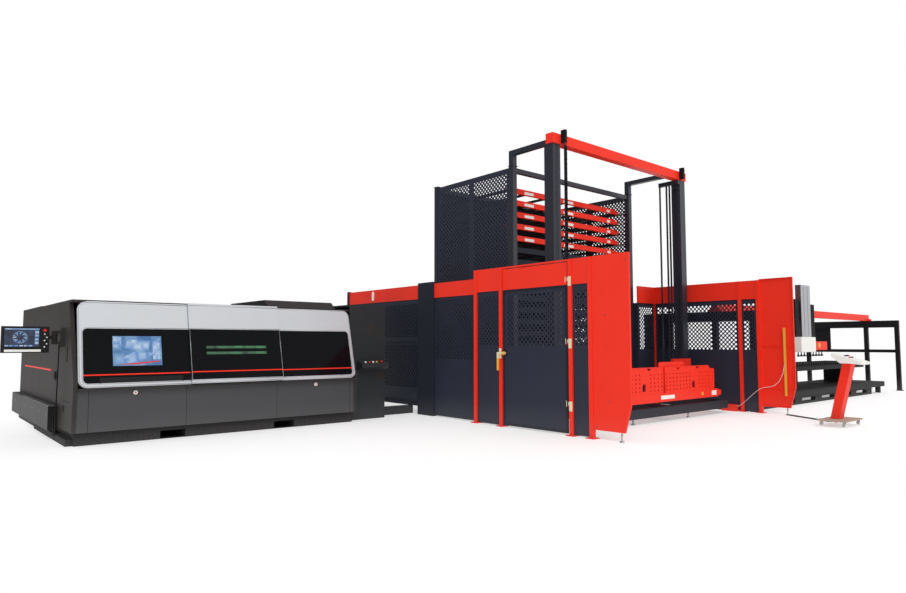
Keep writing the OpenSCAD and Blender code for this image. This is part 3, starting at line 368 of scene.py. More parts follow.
def paint_with_shaded_back(name, front, back, edge, rough):
    """A paint that turns to painted shade past a share of the solid's depth, and slides along with the solid.
    """
    material = paint(name, front, rough, clouds=0.10, dust=0.10, gloss=0.15)
    tree = material.node_tree
    split = tree.nodes.new("ShaderNodeSeparateXYZ")
    tree.links.new(tree.nodes.new("ShaderNodeTexCoord").outputs["Generated"], split.inputs[0])
    behind = math_node(tree, "GREATER_THAN", split.outputs["Y"], edge)
    group = next(node for node in tree.nodes if node.type == "GROUP")
    tree.links.new(mix_colour(tree, behind, front, back), group.inputs["Paint"])
    return material


def metal(name, colour, rough, streaks=0.2):
    values = {"Metal": colour, "Roughness": rough, "Streaks": streaks}
    return coated(name, brushed_metal, values, 1.0, 0.08, 0.0005)[0]

# %% [markdown]
# Paints and metals
# The line wears four main paints: a bright red, a near-black blue, a warm charcoal and a mid grey. The
# silver front frames have a metallic paint, so they use the same group over a half-metallic base. Rubber and
# black plastic have a coarser skin, and only the bare steel is a metal.

# %% Paints and metals
signal_red = linear(240, 52, 34)
red_paint = paint("red_paint", signal_red, 0.36, clouds=0.10, dust=0.10, gloss=0.15)
# The trays' backs are red too; the dark colour behind is painted shade, where they lie in shadow.
tray_paint_shaded_back = paint_with_shaded_back("tray_paint_shaded_back", signal_red, linear(40, 32, 33), 0.03, 0.36)
navy_post = paint("navy_post", linear(38, 41, 52), 0.30, clouds=0.18, dust=0.12, gloss=0.55)
navy_steel = paint("navy_steel", linear(36, 39, 50), 0.42, clouds=0.18, dust=0.12, gloss=0.15)
# Lighter than navy_steel for the sheets: the extra lightness is painted sheen.
navy_sheet_painted_sheen = paint("navy_sheet_painted_sheen", linear(43, 47, 62), 0.40, clouds=0.22, dust=0.12, gloss=0.25)
charcoal_cover = paint("charcoal_cover", linear(54, 50, 49), 0.46, clouds=0.16, dust=0.15, peel=0.2,
                       gloss=0.15)
grey_panel = paint("grey_panel", linear(72, 72, 74), 0.45, clouds=0.14, dust=0.15, peel=0.2, gloss=0.2)
silver_paint = paint("silver_paint", linear(203, 206, 210), 0.32, metallic=0.50, clouds=0.06, dust=0.05,
                     gloss=0.4)
end_grey = paint("end_grey", linear(43, 46, 49), 0.42, clouds=0.16, dust=0.12, gloss=0.25)
black_steel = paint("black_steel", linear(22, 22, 25), 0.5, clouds=0.2, dust=0.2, gloss=0.15)
black_plastic = paint("black_plastic", linear(24, 24, 27), 0.5, clouds=0.1, dust=0.05, peel=0.3, gloss=0.2)
red_plastic = paint("red_plastic", linear(214, 32, 26), 0.25, clouds=0.04, dust=0.0, peel=0.05, gloss=0.4)
white_paint = paint("white_paint", linear(236, 235, 230), 0.4, clouds=0.05, dust=0.1)
yellow_paint = paint("yellow_paint", linear(226, 170, 60), 0.4, clouds=0.1, dust=0.1)
pale_latch = paint("pale_latch", linear(226, 214, 178), 0.4, clouds=0.08, dust=0.1)
tan_plate = paint("tan_plate", linear(176, 150, 132), 0.55, clouds=0.25, dust=0.3)
blue_plastic = paint("blue_plastic", linear(44, 74, 170), 0.3, clouds=0.04, dust=0.0, gloss=0.4)
bare_steel = metal("bare_steel", linear(176, 178, 182), 0.32)
dark_rubber = paint("dark_rubber", linear(20, 20, 21), 0.62, clouds=0.1, dust=0.2, peel=0.3, gloss=0.15)
pale_rubber = paint("pale_rubber", linear(226, 196, 196), 0.55, clouds=0.08, dust=0.1, peel=0.2)
print("paints and metals ready")

# %% [markdown]
# Glazing and screens
# The cabin's glass is nearly black from outside and glossy. It is made as a dark coated dielectric, with
# slight waviness so that reflections aren't ruler straight. What can be seen behind it is added later as
# lit films.

# %% Glass and screen materials
def make_glass():
    material, tree, shader = new_material("black_glass")
    place = tree.nodes.new("ShaderNodeNewGeometry").outputs["Position"]
    wave = noise(tree, place, 1.2, 1.0)
    smear = noise(tree, place, 9.0, 4.0, 0.65)
    tint = mix_colour(tree, smear, linear(8, 9, 11), linear(17, 18, 22))
    tree.links.new(tint, shader.inputs["Base Color"])
    rough = math_node(tree, "MULTIPLY", smear, 0.10)
    tree.links.new(math_node(tree, "ADD", rough, 0.03), shader.inputs["Roughness"])
    shader.inputs["Specular IOR Level"].default_value = 0.07
    bump(tree, shader, wave, 0.03, 0.01)
    return material


def glow(name, dark, light, strength, scale):
    """A lit display: soft blocks of two colours, brightest in the middle of each block."""
    material, tree, shader = new_material(name)
    place = tree.nodes.new("ShaderNodeNewGeometry").outputs["Position"]
    cells = tree.nodes.new("ShaderNodeTexVoronoi")
    cells.distance = "CHEBYCHEV"
    cells.inputs["Scale"].default_value = scale
    tree.links.new(place, cells.inputs["Vector"])
    mask = math_node(tree, "MULTIPLY", cells.outputs["Distance"], 1.6, clamp=True)
    colour = mix_colour(tree, mask, light, dark)
    shader.inputs["Base Color"].default_value = (0.01, 0.01, 0.012, 1)
    shader.inputs["Roughness"].default_value = 0.15
    tree.links.new(colour, shader.inputs["Emission Color"])
    shader.inputs["Emission Strength"].default_value = strength
    return material


black_glass = make_glass()
screen_glow = glow("screen_glow", linear(60, 116, 176), linear(150, 192, 226), 0.8, 5.0)
hmi_glow = glow("hmi_glow", linear(12, 22, 44), linear(40, 70, 116), 0.7, 14.0)
tile_glow = glow("tile_glow", linear(96, 150, 214), linear(206, 226, 246), 0.8, 9.0)
green_glow = glow("green_glow", linear(26, 70, 48), linear(96, 190, 120), 0.5, 5.0)
print("glazing ready")

# %% [markdown]
# Dressing the solids
# The solids already have the true shape, so most of them only need a finish. Each paint is listed here with
# the nodes that wear it, which is easier to check against the photograph than one line for every node.

# %% Finishes for the solids
finishes = (
    (charcoal_cover, "machine_frame side_cover side_hatch roof_cover back_wall end_wall rear_cabinet"
                     " hmi_bracket hmi_arm head_carriage loader_trolley"),
    (red_paint, "fence_posts fence_bands end_panels lift_beam lift_carriage lift_plates loader_bridge"
                " console_stand"),
    (navy_steel, "lower_trays lift_base fence_sheets_left fence_sheets_rear fence_sheets_right"
                 " tower_sheets gate_leaf"),
    (black_steel, "machine_base loader_deck loader_rails loader_table"),
    (silver_paint, "front_frame_left front_frame_right door_frame gantry_beam"),
    (white_paint, "front_button_left front_button_right gripper_head console_panel"),
    (tray_paint_shaded_back, "tray_1 tray_2 tray_3 tray_4 tray_5"),
    (bare_steel, "machine_bed pallet cutting_head"),
    (navy_post, "tower_frame lift_frame"),
    (black_glass, "front_glass door_glass"),
    (grey_panel, "skirt_panels duct_box"),
    (red_plastic, "shelf_button hmi_button"),
    (end_grey, "end_cover"),
    (black_plastic, "hmi_panel"),
    (pale_latch, "gate_latch"),
    (yellow_paint, "light_curtain"),
    (dark_rubber, "hmi_cable"),
    (pale_rubber, "curtain_cable"))
for material, names in finishes:
    for name in names.split():
        nodes[name].data.materials.clear()
        nodes[name].data.materials.append(material)
print("finished solids:", sum(len(names.split()) for _, names in finishes))

# %% [markdown]
# Cables
# Two cables hang in plain sight: a black one from the operator panel's bracket down to the low duct, and a
# thin pale one from the light curtain down to the floor box. Each follows the route of its solid as one
# smooth curve.

# %% Cables
hmi_route_mm = [
    (-6760, 5330, 1470), (-6760, 5330, 1400), (-6762, 5330, 1200), (-6764, 5330, 1000), (-6766, 5330, 800),
    (-6768, 5331, 600), (-6769, 5334, 400), (-6770, 5342, 260), (-6770, 5362, 160), (-6770, 5398, 96),
    (-6770, 5448, 72), (-6770, 5497, 94), (-6770, 5522, 150), (-6770, 5536, 220), (-6770, 5546, 290),
    (-6770, 5558, 335), (-6770, 5578, 350), (-6770, 5600, 350)]
curtain_route_mm = [
    (6019, -560, 1080), (6001, -560, 1080), (5988, -557, 1056), (5982, -546, 1000), (5980, -528, 900),
    (5980, -484, 798), (5980, -430, 710), (5980, -350, 636), (5980, -251, 596), (5980, -150, 580),
    (5980, -65, 562), (5980, 30, 506), (5980, 120, 430), (5980, 212, 344), (5980, 300, 262),
    (5980, 377, 196), (5980, 438, 146), (5980, 488, 120), (5980, 521, 120)]


def cable(name, route_mm, diameter, material, slot, node):
    points = [Vector(p) / 1000.0 for p in route_mm]
    data = bpy.data.curves.new(name, "CURVE")
    data.dimensions = "3D"
    data.bevel_depth = diameter / 2
    data.bevel_resolution = 4
    data.use_fill_caps = True
    spline = data.splines.new("POLY")
    spline.points.add(len(points) - 1)
    for target, point in zip(spline.points, points):
        target.co = (*point, 1.0)
    obj = bpy.data.objects.new(name, data)
    bpy.context.scene.collection.objects.link(obj)
    finish_piece(obj, "line", slot, material, node)


cable("operator_cable", hmi_route_mm, 0.018, dark_rubber, "black_rubber", "hmi_cable")
cable("curtain_lead", curtain_route_mm, 0.012, pale_rubber, "white_rubber", "curtain_cable")

# %% [markdown]
# Perforated guard sheets
# The guards are steel sheets punched with round holes in a staggered pattern, so that people can look in
# but can't reach in. The solids carry a coarse pattern that keeps them light. Here each sheet gets its true
# density: the plane is tiled with diamonds, each diamond has one hole in its middle, and half diamonds
# close the field's edges.

# %% Sheet builder
hole_pitch = 0.100
hole_radius = 0.026
sheet_thickness = 0.006
sheet_edge = 0.010


def perforated_sheet(name, corner, along, width, height, field, radius=hole_radius):
    """A vertical sheet from corner along a level direction, with holes between the two heights of field."""
    corner, along, up = Vector(corner), Vector(along), Vector((0, 0, 1))
    normal = along.cross(up)
    pitch, half = hole_pitch, hole_pitch / 2
    columns = int((width - 2 * sheet_edge) / pitch)
    rows = int((field[1] - field[0]) / pitch)
    left = (width - columns * pitch) / 2
    low = field[0] + (field[1] - field[0] - rows * pitch) / 2
    verts, faces, seen = [], [], {}

    def point(u, v, side):
        key = (round(u, 6), round(v, 6), side)
        if key not in seen:
            seen[key] = len(verts)
            verts.append(corner + along * (u + left) + up * (v + low) + normal * (side * sheet_thickness / 2))
        return seen[key]

    def both(outline):
        faces.append([point(u, v, 1) for u, v in outline])
        faces.append([point(u, v, -1) for u, v in reversed(outline)])

    def wall(a, b):
        faces.append([point(*a, -1), point(*b, -1), point(*b, 1), point(*a, 1)])

    def diamond(cu, cv):
        ring = [(cu + radius * math.cos(a), cv + radius * math.sin(a))
                for a in (k * math.pi / 6 for k in range(12))]
        tips = [(cu + half, cv), (cu, cv + half), (cu - half, cv), (cu, cv - half)]
        for q in range(4):
            arc = [ring[(3 * q + k) % 12] for k in (3, 2, 1, 0)]
            both([tips[q], tips[(q + 1) % 4]] + arc)
        for k in range(12):
            wall(ring[(k + 1) % 12], ring[k])

    for i in range(columns):
        for j in range(rows):
            diamond((i + 0.5) * pitch, (j + 0.5) * pitch)
            if i > 0 and j > 0:
                diamond(i * pitch, j * pitch)
    wide, tall = columns * pitch, rows * pitch
    for i in range(1, columns):
        both([(i * pitch - half, 0), (i * pitch + half, 0), (i * pitch, half)])
        both([(i * pitch + half, tall), (i * pitch - half, tall), (i * pitch, tall - half)])
    for j in range(1, rows):
        both([(0, j * pitch + half), (0, j * pitch - half), (half, j * pitch)])
        both([(wide, j * pitch - half), (wide, j * pitch + half), (wide - half, j * pitch)])
    both([(0, 0), (half, 0), (0, half)])
    both([(wide, 0), (wide, half), (wide - half, 0)])
    both([(wide, tall), (wide - half, tall), (wide, tall - half)])
    both([(0, tall), (0, tall - half), (half, tall)])
    steps_u = [0.0] + [i * pitch + half for i in range(columns)] + [wide]
    steps_v = [0.0] + [j * pitch + half for j in range(rows)] + [tall]
    u0, u1, v0, v1 = -left, width - left, -low, height - low
    both([(u0, v0), (u1, v0), (u1, 0)] + [(u, 0) for u in reversed(steps_u)] + [(u0, 0)])
    both([(u1, v1), (u0, v1), (u0, tall)] + [(u, tall) for u in steps_u] + [(u1, tall)])
    both([(u0, tall), (u0, 0)] + [(0, v) for v in steps_v])
    both([(u1, 0), (u1, tall)] + [(wide, v) for v in reversed(steps_v)])
    loop = [(u0, v0), (u1, v0), (u1, 0), (u1, tall), (u1, v1), (u0, v1), (u0, tall), (u0, 0)]
    for a, b in zip(loop, loop[1:] + loop[:1]):
        wall(a, b)
    mesh = bpy.data.meshes.new(name)
    mesh.from_pydata(verts, [], faces)
    mesh.validate()
    obj = bpy.data.objects.new(name, mesh)
    bpy.context.scene.collection.objects.link(obj)
    print(name, "has", 2 * rows * columns - rows - columns + 1, "holes")
    return obj

# %% [markdown]
# The fence's sheets
# The front fence, the fence behind the cutter's outlet and the fence beside the lift have dark sheets under
# their red bands. The sheets stand on the fence's lines, so each takes its corner and length from the posts
# on both sides of it.

# %% Fence sheets
post_half = 0.0375
front_posts = (0.0, 0.417, 2.1, 2.81)
band_low, sheet_low = 2.56, 0.020
rear_x, rear_ys, rear_top = 0.11, (2.813, 4.26, 4.79, 7.73), 2.535
rear_low, rear_seam = 0.18, 1.57
right_x, corner_y, return_x = 6.06, 2.66, 5.32
front_field, right_field = (1.44, 2.50), (1.31, 2.51)
y_axis, x_axis = (0, 1, 0), (1, 0, 0)
full_height, rear_width = band_low - sheet_low, rear_ys[3] - rear_ys[2]


def fence_sheet(name, corner, along, width, height, field, node):
    sheet = perforated_sheet(name, corner, along, width, height, field)
    finish_piece(sheet, "line", "navy_steel", navy_sheet_painted_sheen, node)


for k, (a, b) in enumerate(((front_posts[0], front_posts[1]), (front_posts[2], front_posts[3]))):
    fence_sheet(f"front_sheet_{k}", (0, a + post_half, sheet_low), y_axis, b - a - 2 * post_half, full_height,
                front_field, "fence_sheets_left")
for name, y, z, width, height, field in (
        ("rear_sheet_0", rear_ys[0], sheet_low, rear_ys[1] - rear_ys[0], rear_top - sheet_low, (1.18, 2.48)),
        ("rear_sheet_low", rear_ys[2], rear_low, rear_width, rear_seam - rear_low, (0.36, 1.36)),
        ("rear_sheet_top", rear_ys[2], rear_seam, rear_width, rear_top - rear_seam, (0.06, 0.92))):
    fence_sheet(name, (rear_x, y, z), y_axis, width, height, field, "fence_sheets_rear")
for k, (a, b) in enumerate(((front_posts[0], front_posts[1]), (front_posts[1], corner_y))):
    fence_sheet(f"right_sheet_{k}", (right_x, a + post_half, sheet_low), y_axis, b - a - 2 * post_half,
                full_height, right_field, "fence_sheets_right")
fence_sheet("corner_sheet", (return_x, corner_y, sheet_low), x_axis, right_x - post_half - return_x,
            full_height, right_field, "fence_sheets_right")

# %% [markdown]
# The fence's columns
# Plain folded plates and a wide column with bolt heads stand between the sheets. A plain black sheet behind
# the rear fence closes the view through its holes: painted shade seen through them.

# %% Fence columns
column_half, rail_half, seam_half, seam_depth = 0.06, 0.04, 0.025, 0.015
return_top, column_top, rail_top, sill_top = 1.46, 2.885, 2.865, 0.26
column_bolt, bolt_in = (0.016, 0.006, 0.011, 0.010), 0.06
return_y, return_end = rear_ys[0], (1.05, 2.80)
bm = bmesh.new()
for low, high, bevel in (
        ((post_half, return_y - sheet_thickness, sheet_low), (return_end[0], return_y, return_top), 0.001),
        ((return_x, corner_y, sheet_low), (return_x + sheet_thickness, return_end[1], band_low), 0.001),
        ((rear_x - column_half, rear_ys[1], 0.0), (rear_x + column_half, rear_ys[2], column_top), 0.006),
        ((rear_x - rail_half, rear_ys[3], 0.0),
         (rear_x + rail_half, rear_ys[3] + 2 * rail_half, rail_top), 0.005),
        ((rear_x - rail_half, rear_ys[2], rear_low), (rear_x + rail_half, rear_ys[3], sill_top), 0.005),
        ((rear_x - seam_depth, rear_ys[2], rear_seam - seam_half),
         (rear_x + seam_depth, rear_ys[3], rear_seam + seam_half), 0.003)):
    add_block(bm, low, high, bevel)
for z in (0.35, 1.45, 2.55):
    for y in (rear_ys[1] + bolt_in, rear_ys[2] - bolt_in):
        add_cap(bm, (rear_x - column_half, y, z), (-1, 0, 0), *column_bolt)
piece("fence_columns", bm, "line", navy_steel, "fence_sheets_left", "fence_sheets_rear", "fence_sheets_right")
# A black sheet behind the rear fence's holes: painted shade seen through them.
backing = ((rear_x + rail_half - sheet_thickness, rear_ys[2], rear_low),
           (rear_x + rail_half, rear_ys[3], rear_top))
piece("rear_painted_shade_sheet", blocks([backing], 0.001), "line", black_steel, "fence_sheets_rear", slot="navy_steel")

# %% [markdown]
# The gate
# The gate is as tall as the fence: a folded steel frame round a sheet that is perforated above and plain
# below, with a red band on top that continues the fence's bands. It hangs on three pale hinges. Everything
# here turns with it.

# %% Gate
gate_y, gate_z, gate_top = (0.5005, 2.0505), (0.03, 2.56), 2.955
gate_edge, gate_half = 0.036, 0.015
gate_axis_y, barrel, pin = 0.4765, 0.018, 0.0099
hinge_heights, knuckle, play = (0.5, 1.56, 2.625), 0.06, 0.0003
latch_y, latch_z, latch_half = 1.9805, 1.37, 0.04
inner_y = (gate_y[0] + gate_edge, gate_y[1] - gate_edge)
gate_size = [side[1] - side[0] - 2 * gate_edge for side in (gate_y, gate_z)]
gate_corner, gate_field = (0, inner_y[0], gate_z[0] + gate_edge), (1.39, 2.44)

sheet = perforated_sheet("gate_sheet", gate_corner, y_axis, *gate_size, gate_field)
finish_piece(sheet, "gate", "navy_steel", navy_sheet_painted_sheen, "gate_leaf")
stiles = [((-gate_half, y, gate_z[0]), (gate_half, y + gate_edge, gate_z[1]))
          for y in (gate_y[0], inner_y[1])]
rails = [((-gate_half, inner_y[0], z), (gate_half, inner_y[1], z + gate_edge))
         for z in (gate_z[0], gate_z[1] - gate_edge)]
bm = blocks(stiles + rails, 0.004)
add_block(bm, (-gate_half, latch_y - latch_half, latch_z - latch_half),
          (gate_half, inner_y[1], latch_z + latch_half), 0.003)
piece("gate_frame", bm, "gate", navy_steel, "gate_leaf")
band = ((-gate_half, gate_y[0], gate_z[1]), (gate_half, gate_y[1], gate_top))
piece("gate_band", blocks([band], 0.004), "gate", red_paint, "gate_leaf")
barrel_round = 0.002
barrel_profile = [(barrel - barrel_round, 0.0), (barrel, barrel_round), (barrel, knuckle - barrel_round),
                  (barrel - barrel_round, knuckle)]
bm = bmesh.new()
for z in hinge_heights:
    lift = z + play
    place = Matrix.Translation((0, gate_axis_y, lift))
    add_disc(bm, barrel_profile, place)
    add_disc(bm, [(pin, -knuckle + 0.004), (pin, 0.001)], place, 16)
    add_block(bm, (-0.010, gate_axis_y, lift), (0.010, gate_y[0], z + knuckle), 0.001)
    add_block(bm, (-0.0165, gate_y[0] + 0.021, lift - 0.02),
              (-gate_half, gate_y[0] + 0.034, z + knuckle + 0.02), 0.0006)
piece("gate_hinges", bm, "gate", pale_latch, "gate_leaf", smooth=True)

# %% [markdown]
# The tower's sheets
# The storage tower is closed at both ends by tall perforated sheets, two beside each other on each side,
# and at the back by two plain ones.

# %% Tower sheets
tower_left, tower_y, tower_post, tower_half = 1.05, 2.80, 0.12, 1.204
tower_low, tower_tall, tower_seam, rear_w = 0.32, 4.97, 0.002, 2.029
tower_back, tower_screw, screw_in = (5.432, 5.438), (0.011, 0.003, 0.007, 0.006), 0.05
tower_field, tower_hole = (0.05, 4.93), 0.020
for side, x in enumerate((1.065, 5.335)):
    for k in range(2):
        corner = (x, tower_y + tower_post + k * (tower_half + tower_seam), tower_low)
        sheet = perforated_sheet(f"tower_sheet_{side}{k}", corner, y_axis, tower_half, tower_tall,
                                 tower_field, tower_hole)
        finish_piece(sheet, "line", "navy_steel", navy_sheet_painted_sheen, "tower_sheets")
bm = bmesh.new()
for k in range(2):
    x = tower_left + tower_post + k * (rear_w + tower_seam)
    add_block(bm, (x, tower_back[0], tower_low), (x + rear_w, tower_back[1], tower_low + tower_tall), 0.001)
    for z in (0.45, 1.85, 3.25, 4.65, 5.18):
        for dx in (screw_in, rear_w - screw_in):
            add_cap(bm, (x + dx, tower_back[1], z), (0, 1, 0), *tower_screw)
piece("tower_rear_sheets", bm, "line", navy_steel, "tower_sheets")

# %% [markdown]
# The cutter's face
# The dark glass carries a thin red line along its foot. The line is a film on the glass, so it is built in
# the plane of the glass, which leans back by about fourteen degrees. The door's stretch of it slides with
# the door.

# %% Cutter face
lean_foot = Vector((0.0, 4.40, 0.8814))
lean_angle = math.radians(14.24)
lean_length = 1.371
glass_depth, door_depth = 0.004, -0.033
frame_left, frame_right = -6.64, -1.78
door_left, door_right = -4.97, -3.33
face_matrix = Matrix.Translation(lean_foot) @ Matrix.Rotation(-lean_angle, 4, "X")


def face_block(bm, x0, x1, up0, up1, depth, thick=0.0015, bevel=0.0005):
    """A thin film on the leaning face: heights run along the slope, thickness towards the operator."""
    add_block(bm, (x0, depth - thick, up0), (x1, depth, up1), bevel, 1, face_matrix)


def slope(z):
    return (z - lean_foot.z) / math.cos(lean_angle)


line_end, fixed_gap, door_gap = 0.067, 0.004, 0.003
red_line = (slope(1.062), slope(1.082))
bm = bmesh.new()
face_block(bm, frame_left + line_end, door_left - fixed_gap, *red_line, glass_depth)
face_block(bm, door_right + fixed_gap, frame_right - line_end, *red_line, glass_depth)
piece("red_line_fixed", bm, "line", red_paint)
bm = bmesh.new()
face_block(bm, door_left + door_gap, door_right - door_gap, *red_line, door_depth)
piece("red_line_door", bm, "front_door", red_paint)

# %% [markdown]
# Window display and cabin light
# At the left the glass holds a large display that shows the cut, drawn here as a few lit shapes. Behind the
# sliding door's glass a pale green light is seen.

# %% Window display
display_x, display_up, display_film = (-6.156, -5.423), (slope(1.203), slope(1.672)), 0.002
shown = glass_depth - display_film
bm = bmesh.new()
face_block(bm, *display_x, *display_up, glass_depth, display_film)
piece("window_display", bm, "line", screen_glow, slot="black_glass")


def face_shape(bm, points, depth, thick=0.0006):
    """A thin film of any outline on the leaning face, from points of X and height."""
    front = [bm.verts.new(face_matrix @ Vector((x, depth - thick, slope(z)))) for x, z in points]
    back = [bm.verts.new(face_matrix @ Vector((x, depth, slope(z)))) for x, z in points]
    join_rings(bm, [front, back])


def display_piece(name, outlines, material, **options):
    bm = bmesh.new()
    for outline in outlines:
        face_shape(bm, outline, shown)
    bmesh.ops.recalc_face_normals(bm, faces=bm.faces)
    piece(name, bm, "line", material, **options)


shapes = (((-6.14, 1.25), (-5.78, 1.25), (-5.52, 1.40), (-5.86, 1.42)),
          ((-5.98, 1.47), (-5.62, 1.44), (-5.60, 1.60), (-5.94, 1.62)),
          ((-5.56, 1.30), (-5.45, 1.30), (-5.45, 1.64), (-5.56, 1.58)),
          ((-6.14, 1.50), (-6.03, 1.48), (-6.03, 1.66), (-6.14, 1.66)))
stripe = ((-6.10, 1.225), (-5.80, 1.225), (-5.46, 1.262), (-5.46, 1.278))
display_piece("display_shapes", shapes, tile_glow, slot="black_glass")
display_piece("display_stripe", [stripe], red_plastic, slot="red_paint")
glow_x, glow_tall = (-4.70, -3.62), 0.045
bm = bmesh.new()
for up in (slope(1.46), slope(1.36)):
    face_block(bm, *glow_x, up, up + glow_tall, door_depth, 0.0008, 0.0002)
piece("cabin_glow", bm, "front_door", green_glow, slot="black_glass")

# %% [markdown]
# Frame beads
# A bright bead runs round the silver frames and round the glass, and along both upright edges of the door.
# It is a thin round bar, half sunk in the face, that follows the frame's rounded ends.

# %% Frame beads
frame_rim, frame_band, bead_seat = 0.065, 0.434, 0.012
bead_in, frame_round, glass_round, bead_gap = 0.014, 0.118, 0.078, 0.006
bead_radius, bead_sides, door_bead = 0.005, 6, door_depth - 0.004
glass_low, glass_high = frame_rim - bead_seat, lean_length - frame_band + bead_seat


def bead(bm, points, depth):
    """A bright half-round bead on the silver frame, along points of X and height on the slope."""
    before = set(bm.verts)
    rim(bm, [(x, depth, up) for x, up in points], bead_radius, bead_sides)
    bmesh.ops.transform(bm, matrix=face_matrix, verts=[v for v in bm.verts if v not in before])


def rounded_end(x, sign, low, high, radius):
    """The points round one end of the frame: sign is 1 where the end looks to the left."""
    arc = [math.pi / 2 * k / 8 for k in range(9)]
    top = [(x + sign * (radius - radius * math.sin(a)), high - radius + radius * math.cos(a)) for a in arc]
    foot = [(x + sign * (radius - radius * math.cos(a)), low + radius - radius * math.sin(a)) for a in arc]
    return top + foot


bm = bmesh.new()
for x, sign, edge in ((frame_left, 1, door_left - bead_gap), (frame_right, -1, door_right + bead_gap)):
    outer = rounded_end(x + sign * bead_in, sign, bead_in, lean_length - bead_in, frame_round)
    inner = rounded_end(x + sign * (frame_rim - bead_seat), sign, glass_low, glass_high, glass_round)
    bead(bm, [(edge, lean_length - bead_in)] + outer + [(edge, bead_in)], 0.0)
    bead(bm, [(edge, glass_high)] + inner + [(edge, glass_low)], 0.0)
bmesh.ops.recalc_face_normals(bm, faces=bm.faces)
piece("frame_beads", bm, "line", bare_steel, smooth=True)
door_ends = (door_left + bead_gap, door_right - bead_gap)
bm = bmesh.new()
for up in (bead_in, glass_low, glass_high, lean_length - bead_in):
    bead(bm, [(x, up) for x in door_ends], door_bead)
for x in door_ends:
    bead(bm, [(x, glass_low), (x, glass_high)], door_bead)
bmesh.ops.recalc_face_normals(bm, faces=bm.faces)
piece("door_beads", bm, "front_door", bare_steel, smooth=True)

# %% [markdown]
# Grip strip, buttons and fork pockets
# A black grip strip lies at the foot of the left glass. The two round buttons below have a red dot, which
# takes its place from the button's own box. The base has two pockets for a fork lift; black plates on
# their floor and back wall are painted shade, so that they look deep.

# %% Grip strip, buttons and pockets
strip_x, strip_up = (-6.35, -5.10), (slope(0.94), slope(1.03))
strip_thick, strip_end, strip_end_thick = 0.003, 0.02, 0.004
bm = bmesh.new()
face_block(bm, *strip_x, *strip_up, glass_depth, strip_thick)
for x0, x1 in ((strip_x[0], strip_x[0] + strip_end), (strip_x[1] - strip_end, strip_x[1])):
    face_block(bm, x0, x1, *strip_up, glass_depth - strip_thick, strip_end_thick, 0.001)
piece("handle_strip", bm, "line", black_plastic)

button_dot, dot_gap = (0.013, 0.001, 0.011, 0.0018), 0.0002
for side in ("left", "right"):
    button = nodes[f"front_button_{side}"]
    corners = [button.matrix_world @ Vector(corner) for corner in button.bound_box]
    low, high = (Vector([pick(c[k] for c in corners) for k in range(3)]) for pick in (min, max))
    bm = bmesh.new()
    add_cap(bm, ((low.x + high.x) / 2, low.y - dot_gap, (low.z + high.z) / 2), (0, -1, 0), *button_dot, 20)
    piece(f"button_dot_{side}", bm, f"button_{side}", red_plastic, smooth=True)

# Black floor and back plates in each fork pocket: painted shade in the recess.
pocket_y, pocket_end, pocket_low, pocket_top = 4.563, 5.60, 0.001, 0.127
pocket_width, shade_plate_gap = 0.40, 0.003
boxes = []
for pocket_x in (-5.40, -3.42):
    x0, x1 = pocket_x + shade_plate_gap, pocket_x + pocket_width - shade_plate_gap
    boxes.append(((x0, pocket_y, pocket_low), (x1, pocket_end, pocket_low + 0.005)))
    boxes.append(((x0, pocket_end, pocket_low), (x1, pocket_end + 0.02, pocket_top)))
piece("pocket_painted_shade", blocks(boxes), "line", black_steel)

# %% [markdown]
# The cutter's left side
# The side cover is nearly plain: a red stripe, a round lock, a black grip on the hatch, and a bright strip
# on the low duct, whose near end is closed by a black cap. Small pieces like these tell the eye how large
# the machine is.

# %% Cutter side
side_x = -6.70
duct_screw = (0.014, 0.004, 0.009, 0.008)
stripe = ((side_x - 0.002, 6.30, 1.085), (side_x, 9.20, 1.115))
piece("side_stripe", blocks([stripe], 0.0005), "line", red_paint)
lock = [(0.075, 0.0), (0.075, 0.012), (0.066, 0.018), (0.050, 0.018), (0.046, 0.010), (0.020, 0.010),
        (0.018, 0.016)]
bm = bmesh.new()
add_disc(bm, lock, toward((side_x, 5.88, 1.02), (-1, 0, 0)))
for low, high in (((side_x - 0.006, 5.70, 0.84), (side_x, 5.74, 0.92)),
                  ((side_x - 0.006, 5.66, 1.08), (side_x, 5.69, 1.12)),
                  ((side_x - 0.135, 5.592, 0.16), (side_x - 0.002, 5.5995, 0.535))):
    add_block(bm, low, high, 0.002)
piece("side_black_pieces", bm, "line", black_plastic)
bm = blocks([((side_x - 0.125, 5.62, 0.540), (side_x - 0.045, 8.40, 0.548))], 0.002)
for k in range(6):
    add_cap(bm, (side_x - 0.130, 5.75 + 0.7 * k, 0.40), (-1, 0, 0), *duct_screw, 14)
piece("duct_strip", bm, "line", bare_steel)
grip = ((side_x - 0.012, 5.07, 0.545), (side_x, 5.19, 0.575))
piece("hatch_grip", blocks([grip], 0.004), "hatch", black_plastic)

# %% [markdown]
# The service side
# Behind the cutter stand the cabinets of the laser source and its cooler. They have service doors with
# black handles, and fields of tilted slats that let the warm air out. A matrix for each wall lets one loop
# dress them all.

# %% Service side
slat_border, slat_turn = 0.03, 0.6


def wall_matrix(corner, along, normal):
    """A matrix on a wall: X runs along the wall, Y points out of it and Z is up."""
    base = Matrix((Vector(along), Vector(normal), Vector((0, 0, 1)))).transposed().to_4x4()
    base.translation = Vector(corner)
    return base


def louvre(bm, base, x, z, width, height, count):
    """A field of tilted slats in a flat border."""
    edge = slat_border
    for x0, x1, z0, z1 in ((0, width, 0, edge), (0, width, height - edge, height),
                           (0, edge, edge, height - edge), (width - edge, width, edge, height - edge)):
        add_block(bm, (x + x0, 0.002, z + z0), (x + x1, 0.012, z + z1), 0.002, 1, base)
    for k in range(count):
        middle = z + edge + (height - 2 * edge) * (k + 0.5) / count
        slat = base @ Matrix.Translation((x, 0.006, middle)) @ Matrix.Rotation(slat_turn, 4, "X")
        add_block(bm, (edge, -0.0015, -0.016), (width - edge, 0.0015, 0.016), 0.0, 1, slat)


